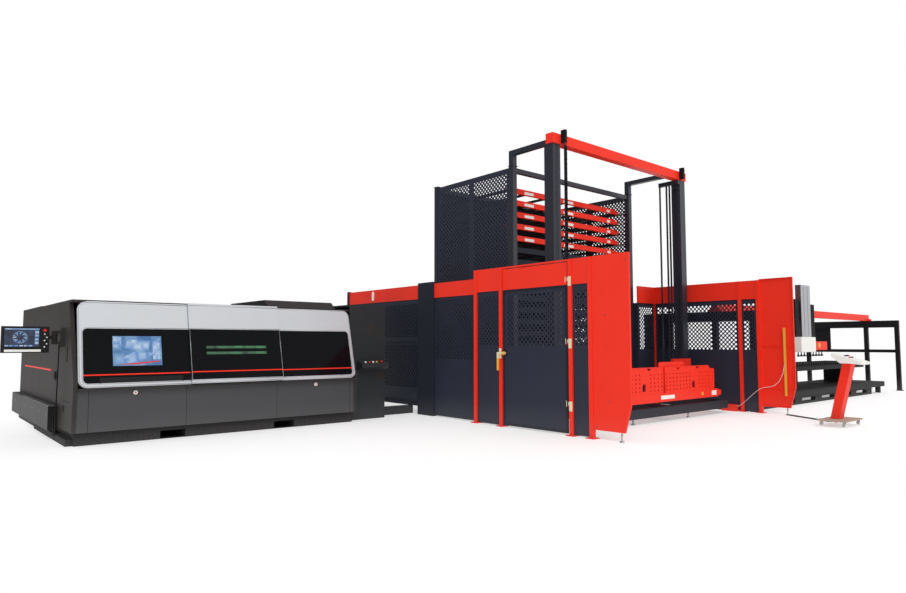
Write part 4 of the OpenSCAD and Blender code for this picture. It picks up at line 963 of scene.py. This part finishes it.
cabinet_back = wall_matrix((-6.70, 9.75, 0), (1, 0, 0), (0, 1, 0))
cabinet_side = wall_matrix((-4.30, 9.75, 0), (0, -1, 0), (1, 0, 0))
cutter_back = wall_matrix((-4.30, 7.50, 0), (1, 0, 0), (0, 1, 0))
door_z, door_skin = (0.26, 2.10), 0.0025
slat_in, slat_fields = 0.14, ((0.40, 0.46, 11), (1.58, 0.36, 9))
door_screw, door_screw_in = (0.010, 0.004, 0.006, 0.007), 0.05
doors, slats, grips, screws = bmesh.new(), bmesh.new(), bmesh.new(), bmesh.new()
for base, starts, width in ((cabinet_back, (0.06, 1.22), 1.12), (cabinet_side, (0.06, 1.14), 1.04),
                            (cutter_back, (0.08, 0.90, 1.72), 0.78)):
    outward = base.to_3x3() @ Vector((0, 1, 0))
    for k, x in enumerate(starts):
        add_block(doors, (x, 0.0, door_z[0]), (x + width, door_skin, door_z[1]), 0.001, 1, base)
        if base is not cutter_back:
            for z, tall, count in slat_fields:
                louvre(slats, base, x + slat_in, z, width - 2 * slat_in, tall, count)
        side = x + 0.10 if k % 2 else x + width - 0.14
        add_block(grips, (side, 0.002, 1.12), (side + 0.04, 0.016, 1.32), 0.005, 2, base)
        for z in (0.32, 2.04):
            for dx in (door_screw_in, width - door_screw_in):
                add_cap(screws, base @ Vector((x + dx, door_skin, z)), outward, *door_screw)
piece("service_doors", doors, "line", charcoal_cover)
piece("service_slats", slats, "line", black_steel)
piece("service_grips", grips, "line", black_plastic)
piece("service_screws", screws, "line", bare_steel)

# %% [markdown]
# The operator panel
# The panel's screen is lit. Beside it sit five keys and the emergency stop, which is a solid of its own, and
# below it a pale bar. The screen shows plain blocks only, with no text or mark of any kind.

# %% Operator panel
panel_face = 5.25
panel_key = (0.011, 0.006, 0.008, 0.009)
screen = ((-7.505, panel_face + 0.002, 1.505), (-7.045, panel_face + 0.006, 1.790))
piece("operator_screen", blocks([screen], 0.001), "hmi_screen", hmi_glow, slot="black_glass")
tile_y = (panel_face + 0.0008, panel_face + 0.0018)
tiles = [(-7.50, 1.770, 0.45, 0.016)] + [(-7.105, 1.545 + 0.055 * k, 0.05, 0.040) for k in range(4)]
tiles += [(-7.495 + 0.062 * k, 1.510, 0.048, 0.020) for k in range(6)]
bm = blocks([((x, tile_y[0], z), (x + w, tile_y[1], z + h)) for x, z, w, h in tiles])
for k in range(24):
    spoke = Matrix.Translation((-7.30, 0, 1.65)) @ Matrix.Rotation(math.pi * k / 12, 4, "Y")
    add_block(bm, (0.045 + 0.02 * (k % 3), tile_y[0], -0.006), (0.095, tile_y[1], 0.006), place=spoke)
piece("screen_tiles", bm, "hmi_screen", tile_glow, slot="black_glass")
bm = bmesh.new()
for k in range(5):
    add_cap(bm, (-6.975 + 0.03 * (k % 2), panel_face, 1.70 - 0.05 * k), (0, -1, 0), *panel_key, 16)
add_block(bm, (-7.50, panel_face - 0.012, 1.425), (-7.02, panel_face, 1.462), 0.004)
piece("operator_keys", bm, "hmi_screen", white_paint)

# %% [markdown]
# The end cover's control shelf
# At the right end of the cutter a shelf at hip height carries push buttons beside the emergency stop. The
# buttons are lathe-turned caps in rings. The shelf's top slopes, so they stand square to that slope.

# %% Shelf buttons
shelf_slope = math.atan2(90, 215)
shelf_normal = Vector((0, -math.sin(shelf_slope), math.cos(shelf_slope)))
shelf_x, shelf_y, shelf_z, shelf_step, cover_front = -1.40, 4.64, 1.1639, 0.09, 4.75
shelf_key = [(0.022, -0.004), (0.022, 0.005), (0.017, 0.008), (0.016, 0.018), (0.012, 0.021)]
for k, material in enumerate((white_paint, red_plastic, white_paint, yellow_paint)):
    bm = bmesh.new()
    add_disc(bm, shelf_key, toward((shelf_x + shelf_step * k, shelf_y, shelf_z), shelf_normal))
    piece(f"shelf_key_{k}", bm, "line", material, smooth=True)
plates = ((-1.30, 1.72, 0.20, 0.24), (-1.02, 1.66, 0.10, 0.16), (-1.06, 0.80, 0.14, 0.20))
bm = blocks([((x, cover_front - 0.003, z), (x + w, cover_front, z + h)) for x, z, w, h in plates], 0.001)
piece("cover_plates", bm, "line", charcoal_cover, slot="black_steel")

# %% [markdown]
# Fence hardware
# Pale hinge leaves are screwed to the red hinge post, the latch has a keeper and a yellow grip, every post
# is bolted to the floor, and a lamp stands on the rear fence's band.

# %% Fence hardware
leaf_x, leaf_screw, bolt_out = -0.046, (0.009, 0.003, 0.006, 0.006), 0.06
bm = bmesh.new()
for z in hinge_heights:
    add_block(bm, (leaf_x, 0.382, z - 0.09), (-post_half, 0.446, z + 0.075), 0.003)
    for dz in (-0.06, 0.045):
        add_cap(bm, (leaf_x, 0.405, z + dz), (-1, 0, 0), *leaf_screw)
piece("post_hinge_leaves", bm, "line", pale_latch)
keeper = ((-0.0475, 2.070, latch_z - 0.10), (-post_half, 2.130, latch_z + 0.09))
piece("latch_keeper", blocks([keeper], 0.003), "line", pale_latch)
latch_hub = [(0.034, -0.006), (0.034, 0.0), (0.026, 0.010), (0.020, 0.016), (0.010, 0.018)]
bm = bmesh.new()
add_disc(bm, latch_hub, toward((-0.075, latch_y, latch_z), (-1, 0, 0)))
add_block(bm, (-0.081, latch_y + 0.136, latch_z - 0.325), (-0.046, latch_y + 0.184, latch_z - 0.10), 0.010, 3)
piece("latch_grip", bm, "latch", yellow_paint, slot="pale_latch", smooth=True)

bm = bmesh.new()
for x, y in [(0, y) for y in front_posts] + [(right_x, y) for y in (*front_posts[:2], corner_y)]:
    for i in (-1, 1):
        for j in (-1, 1):
            place = Matrix.Translation((x + i * bolt_out, y + j * bolt_out, 0.012))
            add_disc(bm, [(0.012, 0.0), (0.012, 0.003)], place, 16)
            add_disc(bm, [(0.0085, 0.003), (0.0085, 0.010), (0.007, 0.012)], place, 6)
piece("floor_bolts", bm, "line", bare_steel)
bm = bmesh.new()
add_disc(bm, [(0.03, -0.02), (0.034, 0.0), (0.034, 0.15), (0.026, 0.19), (0.010, 0.205)],
         Matrix.Translation((rear_x - 0.03, 6.62, 2.60)))
piece("fence_lamp", bm, "line", white_paint, smooth=True)

# %% [markdown]
# Levelling feet
# A levelling foot is a threaded rod in a round pad. The thread is drawn as a stack of small ridges: at this
# size the slow turn of the helix can't be seen.

# %% Levelling feet
def levelling_foot(bm, x, y, top, rod):
    pad = [(0.037, 0.0), (0.038, 0.008), (0.034, 0.016), (0.020, 0.020)]
    ridges = []
    z = 0.022
    while z < top - 0.004:
        ridges += [(rod, z), (rod + 0.0015, z + 0.003)]
        z += 0.006
    add_disc(bm, pad + [(rod, 0.021)] + ridges, Matrix.Translation((x, y, 0)), 20)
    add_disc(bm, [(rod + 0.010, top - 0.050), (rod + 0.010, top - 0.034)], Matrix.Translation((x, y, 0)), 6)


end_foot_y = -0.57
bm = bmesh.new()
for x in (0.0, right_x):
    levelling_foot(bm, x, end_foot_y, 0.150, 0.0105)
for x in (2.01, 3.99):
    for y in (0.594, 2.52):
        levelling_foot(bm, x, y, 0.110, 0.0125)
piece("levelling_feet", bm, "line", bare_steel)

# %% [markdown]
# Red end panels
# The panels at the fence's ends are folded from one sheet: a flat face with a flange all round. They
# replace the solid so that the floor strip, which shares that solid, can have its own grey rubber finish.

# %% End panels
end_depth, end_top, skin, fold_half = 0.76, 3.0, 0.006, 0.020
end_screw = (0.010, 0.003, 0.007, 0.006)


def end_outline(inset):
    return [(-post_half - inset, 0.150 + inset), (-end_depth + 0.120 + inset * 0.7, 0.150 + inset),
            (-end_depth + inset, 0.600 + inset * 0.3), (-end_depth + inset, end_top - inset),
            (-post_half - inset, end_top - inset)]


def folded_panel(bm, x_face, x_fold):
    """A flat face at x_face whose edges are folded over to x_fold."""
    inner_x = x_face + (skin if x_fold > x_face else -skin)
    outer, inner = end_outline(0.0), end_outline(skin)
    rings = []
    for outline, x in ((outer, x_face), (outer, x_fold), (inner, x_fold), (inner, inner_x)):
        rings.append([bm.verts.new((x, y, z)) for y, z in outline])
    join_rings(bm, rings)


bm = bmesh.new()
folded_panel(bm, -fold_half, fold_half)
folded_panel(bm, right_x + fold_half, right_x - fold_half)
for z in (0.55, 1.48):
    add_block(bm, (right_x - 0.001, -end_depth + skin, z),
              (right_x + 0.014, -post_half - skin, z + 0.014), 0.003)
bmesh.ops.recalc_face_normals(bm, faces=bm.faces)
piece("red_end_panels", bm, "line", red_paint, "end_panels")
bm = bmesh.new()
for y, z in ((-0.30, 2.02), (-0.36, 0.62), (-0.70, 2.88), (-0.10, 0.20)):
    add_cap(bm, (-fold_half, y, z), (-1, 0, 0), *end_screw)
strip = Matrix.Translation((right_x, end_foot_y, 0)) @ Matrix.Rotation(math.radians(-120), 4, "Z")
add_block(bm, (0, -0.06, 0), (1.25, 0.06, 0.015), 0.007, 3, strip)
for k in range(9):
    add_block(bm, (0.02, -0.045 + 0.011 * k, 0.0148), (1.23, -0.041 + 0.011 * k, 0.0162), 0.0, 1, strip)
piece("floor_strip", bm, "line", grey_panel, "end_panels", slot="black_rubber")

# %% [markdown]
# Trays
# Each tray's front beam carries white plates that mark its place, left bare here, and a roller near each
# end. They ride on the trays, so a loop over the five bodies makes them.

# %% Tray plates
tray_front, tray_left, tray_right = 3.10, 1.182, 5.218
tray_top, tray_step, roller_in = 4.83, 0.26, 0.05
roller = [(0.030, 0.0), (0.030, 0.006), (0.020, 0.010), (0.012, 0.010)]
for k, body in enumerate(("tray_a", "tray_b", "tray_c", "tray_d", "tray_e")):
    z = tray_top - tray_step * k
    plates = [((x0, tray_front - 0.003, z + 0.014), (x1, tray_front, z + 0.074))
              for x0, x1 in ((3.05, 3.40), (1.72, 2.02), (4.72, 4.84))]
    piece(f"tray_plates_{k}", blocks(plates, 0.001), body, white_paint)
    bm = bmesh.new()
    for x in (tray_left + roller_in, tray_right - roller_in):
        add_disc(bm, roller, toward((x, tray_front, z + 0.035), (0, -1, 0)), 20)
    piece(f"tray_rollers_{k}", bm, body, bare_steel)

# %% [markdown]
# The lift's chain
# The lift's top beam has a black chain guide near each end, and a chain runs down beside the left mast. A
# chain is a row of flat links, turned in pairs.

# %% Chain guides and chain
mast_top, guide_front, chain_pitch = 5.5, 1.436, 0.05
bm = bmesh.new()
for x in (1.130, 5.505):
    add_block(bm, (x - 0.002, guide_front, mast_top + 0.004), (x + 0.064, 1.549, mast_top + 0.279), 0.006)
    add_cap(bm, (x + 0.03, guide_front, mast_top + 0.20), (0, -1, 0), 0.018, 0.010, 0.010, 0.014, 16)
piece("chain_guides", bm, "line", black_steel)


def chain(bm, x, y, low, high):
    for k in range(int((high - low) / chain_pitch)):
        z = low + k * chain_pitch
        wide, thin = (0.017, 0.006) if k % 2 == 0 else (0.006, 0.017)
        add_block(bm, (x - wide, y - thin, z), (x + wide, y + thin, z + chain_pitch * 1.18))


bm = bmesh.new()
chain(bm, 1.156, 1.432, 0.30, 5.49)
piece("lift_chain", bm, "line", black_steel)

# %% [markdown]
# The lift's carriage
# The red beam of the carriage carries bare white plates and a yellow disc, and its two front plates have a
# rolled rim.

# %% Carriage pieces
carriage_y, carriage_top = 0.510, 0.560
plates = [((x0, carriage_y - 0.003, z0), (x1, carriage_y, z1)) for x0, x1, z0, z1 in (
    (1.42, 1.58, 0.425, 0.525), (2.85, 3.35, 0.440, 0.515), (4.84, 5.04, 0.430, 0.525))]
piece("carriage_plates", blocks(plates, 0.001), "carriage", white_paint)
bm = bmesh.new()
add_cap(bm, (4.45, carriage_y, 0.48), (0, -1, 0), 0.038, 0.003, 0.034, 0.004, 20)
piece("carriage_mark", bm, "carriage", yellow_paint)

plate_w, plate_gap, plate_h, plate_r, rim_in = 1.765, 0.06, 0.52, 0.09, 0.008
rim_r = plate_r - rim_in
bm = bmesh.new()
for x in (1.20, 1.20 + plate_w + plate_gap):
    y, z0, z1 = carriage_y + 0.014, carriage_top, carriage_top + plate_h
    line = [(x + rim_in, y, z0)]
    for middle, start in ((x + plate_r, math.pi), (x + plate_w - plate_r, math.pi / 2)):
        for a in (start - k * math.pi / 12 for k in range(7)):
            line.append((middle + rim_r * math.cos(a), y, z1 - plate_r + rim_r * math.sin(a)))
    line.append((x + plate_w - rim_in, y, z0))
    rim(bm, line, 0.011)
bmesh.ops.recalc_face_normals(bm, faces=bm.faces)
piece("plate_rims", bm, "carriage", red_paint, smooth=True)

# %% [markdown]
# The carriage's drive
# At the right end of the carriage sits its drive: a red gear box, a ribbed black motor and a loop of hose.

# %% Carriage drive
drive_x, drive_y, hose_y = 5.12, 0.60, 0.63
gear_box = ((drive_x, drive_y - 0.055, 0.41), (drive_x + 0.20, drive_y + 0.10, 0.53))
piece("carriage_drive", blocks([gear_box], 0.010, 3), "carriage", red_paint)
bm = bmesh.new()
motor = toward((drive_x - 0.10, drive_y, carriage_top + 0.055), (1, 0, 0))
add_disc(bm, [(0.050, 0.0), (0.054, 0.01), (0.054, 0.27), (0.048, 0.28), (0.020, 0.285)], motor, 24)
for k in range(9):
    add_disc(bm, [(0.0545, 0.04 + 0.022 * k), (0.0545, 0.05 + 0.022 * k)], motor, 24)
hose = [(drive_x + 0.21 + 0.13 * math.sin(a), hose_y, 0.54 + 0.09 * math.cos(a))
        for a in (math.pi * k / 14 for k in range(15))]
rim(bm, [(drive_x + 0.16, hose_y, 0.63)] + hose + [(drive_x + 0.19, hose_y, 0.45)], 0.012)
piece("carriage_motor", bm, "carriage", black_plastic)

# %% [markdown]
# The loader's gripper
# The gripper has a white cross box with suction cups, a red drive box at its end, and three lifting columns
# behind: one bright and two dark. The solid is one piece, so it is drawn again here as pieces with their
# own finishes.

# %% Gripper
trolley_x, column_back, head_y = 9.70, 0.8394, 0.56
head_x, head_z, head_h = (0.07, 1.02, 1.87), 1.31, 0.41
cup = [(0.040, 0.0), (0.030, 0.012), (0.037, 0.022), (0.028, 0.034), (0.033, 0.044), (0.014, 0.056),
       (0.014, 0.12), (0.022, 0.121), (0.022, 0.178)]
for k, (x0, x1, depth, top, seat, material) in enumerate((
        (0.07, 0.30, 0.14, 2.75, 0.41, black_steel), (0.44, 1.05, 0.16, 3.16, 0.41, bare_steel),
        (1.08, 1.36, 0.14, 2.64, 0.29, black_steel))):
    low, high = (trolley_x + x0, column_back - depth, head_z + seat), (trolley_x + x1, column_back, top)
    bm = blocks([(low, high)], 0.010)
    for groove in (0.3, 0.7):
        x = low[0] + groove * (high[0] - low[0])
        add_block(bm, (x - 0.012, low[1] - 0.006, low[2] + 0.05),
                  (x + 0.012, low[1] + 0.004, top - 0.05), 0.003)
    piece(f"lift_column_{k}", bm, "gripper", material, "gripper_head")
cross_box = ((trolley_x + head_x[0], head_y, head_z), (trolley_x + head_x[1], column_back, head_z + head_h))
piece("gripper_box", blocks([cross_box], 0.015, 3), "gripper", white_paint, "gripper_head")
drive_box = ((trolley_x + head_x[1], head_y + 0.02, head_z + 0.05),
             (trolley_x + head_x[2], column_back, head_z + head_h - 0.12))
piece("gripper_drive", blocks([drive_box], 0.012, 3), "gripper", red_paint, "gripper_head")
bm = bmesh.new()
add_cap(bm, (trolley_x + 1.30, head_y + 0.02, head_z + 0.18), (0, -1, 0), 0.075, 0.004, 0.068, 0.008, 24)
piece("gripper_lamp", bm, "gripper", yellow_paint)
bm = bmesh.new()
for k in range(9):
    add_disc(bm, cup, Matrix.Translation((trolley_x + head_x[0] + 0.1 + 0.2 * k, (head_y + column_back) / 2,
                                          head_z - 0.12)), 20)
piece("suction_cups", bm, "gripper", dark_rubber, "gripper_head", slot="bare_steel", smooth=True)

# %% [markdown]
# The console's stand
# The console is a red leaning column on a wooden-brown foot plate with four casters. The casters are built
# as on the real one, with a fork, an axle and a pale wheel.

# %% Console stand
console_x, console_y, console_size, console_z = 4.52, -2.24, (0.86, 0.51), 0.105
console_h, wheel_r, foot_top = 1.18, 0.038, console_z + 0.025
lean_back = console_h * math.sin(math.radians(12))
mid_x, mid_y = console_x + console_size[0] * 0.48, console_y + console_size[1] * 0.55
column_half_x, column_front, column_rear = 0.11, 0.06, 0.10


def add_prism(bm, outline, x0, x1):
    """An outline in Y and Z, pulled from x0 to x1."""
    join_rings(bm, [[bm.verts.new((x, y, z)) for y, z in outline] for x in (x0, x1)])


def soften(bm, width):
    bmesh.ops.recalc_face_normals(bm, faces=bm.faces)
    bmesh.ops.bevel(bm, geom=list(bm.edges), offset=width, segments=2, affect="EDGES", profile=0.5)


foot_plate = ((console_x, console_y, console_z),
              (console_x + console_size[0], console_y + console_size[1], foot_top))
piece("console_foot", blocks([foot_plate], 0.006), "line", tan_plate, "console_stand", slot="pale_latch")
bm = bmesh.new()
add_prism(bm, [(mid_y + column_rear, foot_top), (mid_y - column_front, foot_top),
               (mid_y - column_front - lean_back, console_h), (mid_y + column_rear - lean_back, console_h)],
          mid_x - column_half_x, mid_x + column_half_x)
soften(bm, 0.008)
piece("console_column", bm, "line", red_paint, "console_stand")
wheel = [(wheel_r - 0.006, 0.0), (wheel_r, 0.005), (wheel_r, 0.023), (wheel_r - 0.006, 0.028)]
wheels, forks = bmesh.new(), bmesh.new()
for x in (console_x + 0.07, console_x + console_size[0] - 0.07):
    for y in (console_y + 0.06, console_y + console_size[1] - 0.06):
        add_disc(wheels, wheel, toward((x - 0.014, y, wheel_r), (1, 0, 0)))
        for k in (-0.020, 0.016):
            add_block(forks, (x + k, y - 0.022, wheel_r - 0.010),
                      (x + k + 0.004, y + 0.022, console_z), 0.001)
        add_disc(forks, [(0.006, 0.0), (0.006, 0.048)], toward((x - 0.024, y, wheel_r), (1, 0, 0)), 12)
        add_disc(forks, [(0.030, 0.0), (0.030, 0.006)], Matrix.Translation((x, y, console_z - 0.0065)), 20)
piece("caster_wheels", wheels, "line", white_paint, "console_stand", slot="white_rubber")
piece("caster_forks", forks, "line", bare_steel, "console_stand")

# %% [markdown]
# The console's panel
# The white panel tilts towards the operator. Its keys are turned caps that stand square to the sloping top.

# %% Console panel
top_y = mid_y - lean_back
bm = bmesh.new()
add_prism(bm, [(top_y + 0.24, console_h + 0.19), (top_y + 0.25, console_h + 0.13), (top_y + 0.10, console_h),
               (top_y - 0.06, console_h), (top_y - 0.26, console_h - 0.02), (top_y - 0.27, console_h + 0.03)],
          mid_x - 0.225, mid_x + 0.225)
soften(bm, 0.006)
piece("console_head", bm, "line", white_paint, "console_panel")
panel_rise = math.atan2(0.16, 0.51)
panel_normal = Vector((0, -math.sin(panel_rise), math.cos(panel_rise)))
panel_origin = Vector((mid_x, top_y - 0.015, console_h + 0.11))
panel_up = Vector((0, math.cos(panel_rise), math.sin(panel_rise)))
console_keys = (
    (0.10, 0.08, 0.022, red_plastic, "red_plastic"), (-0.06, 0.08, 0.018, blue_plastic, "black_plastic"),
    (0.02, 0.08, 0.014, dark_rubber, "black_plastic"), (-0.13, -0.02, 0.014, red_plastic, "red_plastic"),
    (-0.05, -0.02, 0.014, blue_plastic, "black_plastic"), (0.03, -0.02, 0.014, dark_rubber, "black_plastic"))
for k, (dx, du, radius, material, slot) in enumerate(console_keys):
    bm = bmesh.new()
    base = panel_origin + Vector((dx, 0, 0)) + panel_up * du
    add_disc(bm, [(radius, -0.004), (radius, 0.006), (radius * 0.8, 0.010), (radius * 0.8, 0.022),
                  (radius * 0.6, 0.025)], toward(base, panel_normal), 20)
    piece(f"console_key_{k}", bm, "line", material, "console_panel", slot=slot, smooth=True)

# %% [markdown]
# Floor
# The photograph is a studio cut-out: white all round, with a soft contact shadow. A large pale floor takes
# the shadow in an oval round the line and turns into plain white further out, so that no horizon shows.

# %% Floor
floor_half, floor_drop, floor_glow = 180.0, 0.001, 0.36
oval_middle, oval_squash, oval_radius, oval_fade = (4.6, 3.6), 0.45, 5.2, 0.4


def make_floor():
    bm = bmesh.new()
    bmesh.ops.create_grid(bm, x_segments=1, y_segments=1, size=floor_half)
    floor = mesh_object("studio_floor", bm)
    floor.location.z = -floor_drop
    material, tree, shader = new_material("studio_floor")
    shader.inputs["Roughness"].default_value = 0.9
    place = tree.nodes.new("ShaderNodeNewGeometry").outputs["Position"]
    split = tree.nodes.new("ShaderNodeSeparateXYZ")
    tree.links.new(place, split.inputs[0])
    grain = noise(tree, place, 3.0, 4.0)
    pale = mix_colour(tree, grain, (0.66, 0.66, 0.66, 1), (0.70, 0.70, 0.70, 1))
    tree.links.new(pale, shader.inputs["Base Color"])
    shader.inputs["Emission Color"].default_value = (1, 1, 1, 1)
    shader.inputs["Emission Strength"].default_value = floor_glow
    along = math_node(tree, "SUBTRACT", split.outputs["X"], oval_middle[0])
    along = math_node(tree, "MULTIPLY", along, oval_squash)
    across = math_node(tree, "SUBTRACT", split.outputs["Y"], oval_middle[1])
    far = math_node(tree, "SQRT", math_node(tree, "ADD", math_node(tree, "MULTIPLY", along, along),
                                            math_node(tree, "MULTIPLY", across, across)))
    fade = math_node(tree, "MULTIPLY", math_node(tree, "SUBTRACT", far, oval_radius), oval_fade, clamp=True)
    white = tree.nodes.new("ShaderNodeEmission")
    mix = tree.nodes.new("ShaderNodeMixShader")
    tree.links.new(fade, mix.inputs[0])
    tree.links.new(shader.outputs[0], mix.inputs[1])
    tree.links.new(white.outputs[0], mix.inputs[2])
    tree.links.new(mix.outputs[0], tree.nodes["Material Output"].inputs["Surface"])
    floor.data.materials.append(material)


make_floor()
print("floor ready")

# %% [markdown]
# Light and background
# The world is white to the camera. In reflections it is brighter towards the front right, which lifts the
# operator's side of every post. One soft sun shapes the forms and draws the contact shadow.

# %% World and sun
world_level, shine_toward, shine_swing, shine_mean = 0.78, (0.7, -0.7, 0.1), 0.45, 0.55
sun_energy, sun_spread, sun_heading = 1.1, math.radians(35), Vector((0.45, 0.75, -1.0))


def make_world(level):
    world = bpy.data.worlds.new("studio")
    world.use_nodes = True
    tree = world.node_tree
    back = tree.nodes["Background"]
    back.inputs["Color"].default_value = (1, 1, 1, 1)
    path = tree.nodes.new("ShaderNodeLightPath")
    seen = math_node(tree, "ADD", path.outputs["Is Camera Ray"], path.outputs["Is Transmission Ray"],
                     clamp=True)
    plain = math_node(tree, "ADD", math_node(tree, "MULTIPLY", seen, 1.0 - level), level)
    side = tree.nodes.new("ShaderNodeVectorMath")
    side.operation = "DOT_PRODUCT"
    side.inputs[1].default_value = shine_toward
    tree.links.new(tree.nodes.new("ShaderNodeTexCoord").outputs["Generated"], side.inputs[0])
    shine = math_node(tree, "MULTIPLY", side.outputs["Value"], shine_swing)
    shine = math_node(tree, "ADD", shine, shine_mean)
    shine = math_node(tree, "SUBTRACT", shine, plain)
    shine = math_node(tree, "MULTIPLY", shine, path.outputs["Is Glossy Ray"])
    tree.links.new(math_node(tree, "ADD", plain, shine), back.inputs["Strength"])
    bpy.context.scene.world = world


make_world(world_level)
sun_data = bpy.data.lights.new("soft_sun", "SUN")
sun_data.energy = sun_energy
sun_data.angle = sun_spread
sun = bpy.data.objects.new("soft_sun", sun_data)
sun.rotation_euler = sun_heading.to_track_quat("-Z", "Y").to_euler()
bpy.context.scene.collection.objects.link(sun)
bpy.context.scene.view_settings.view_transform = "Standard"
print("studio ready")
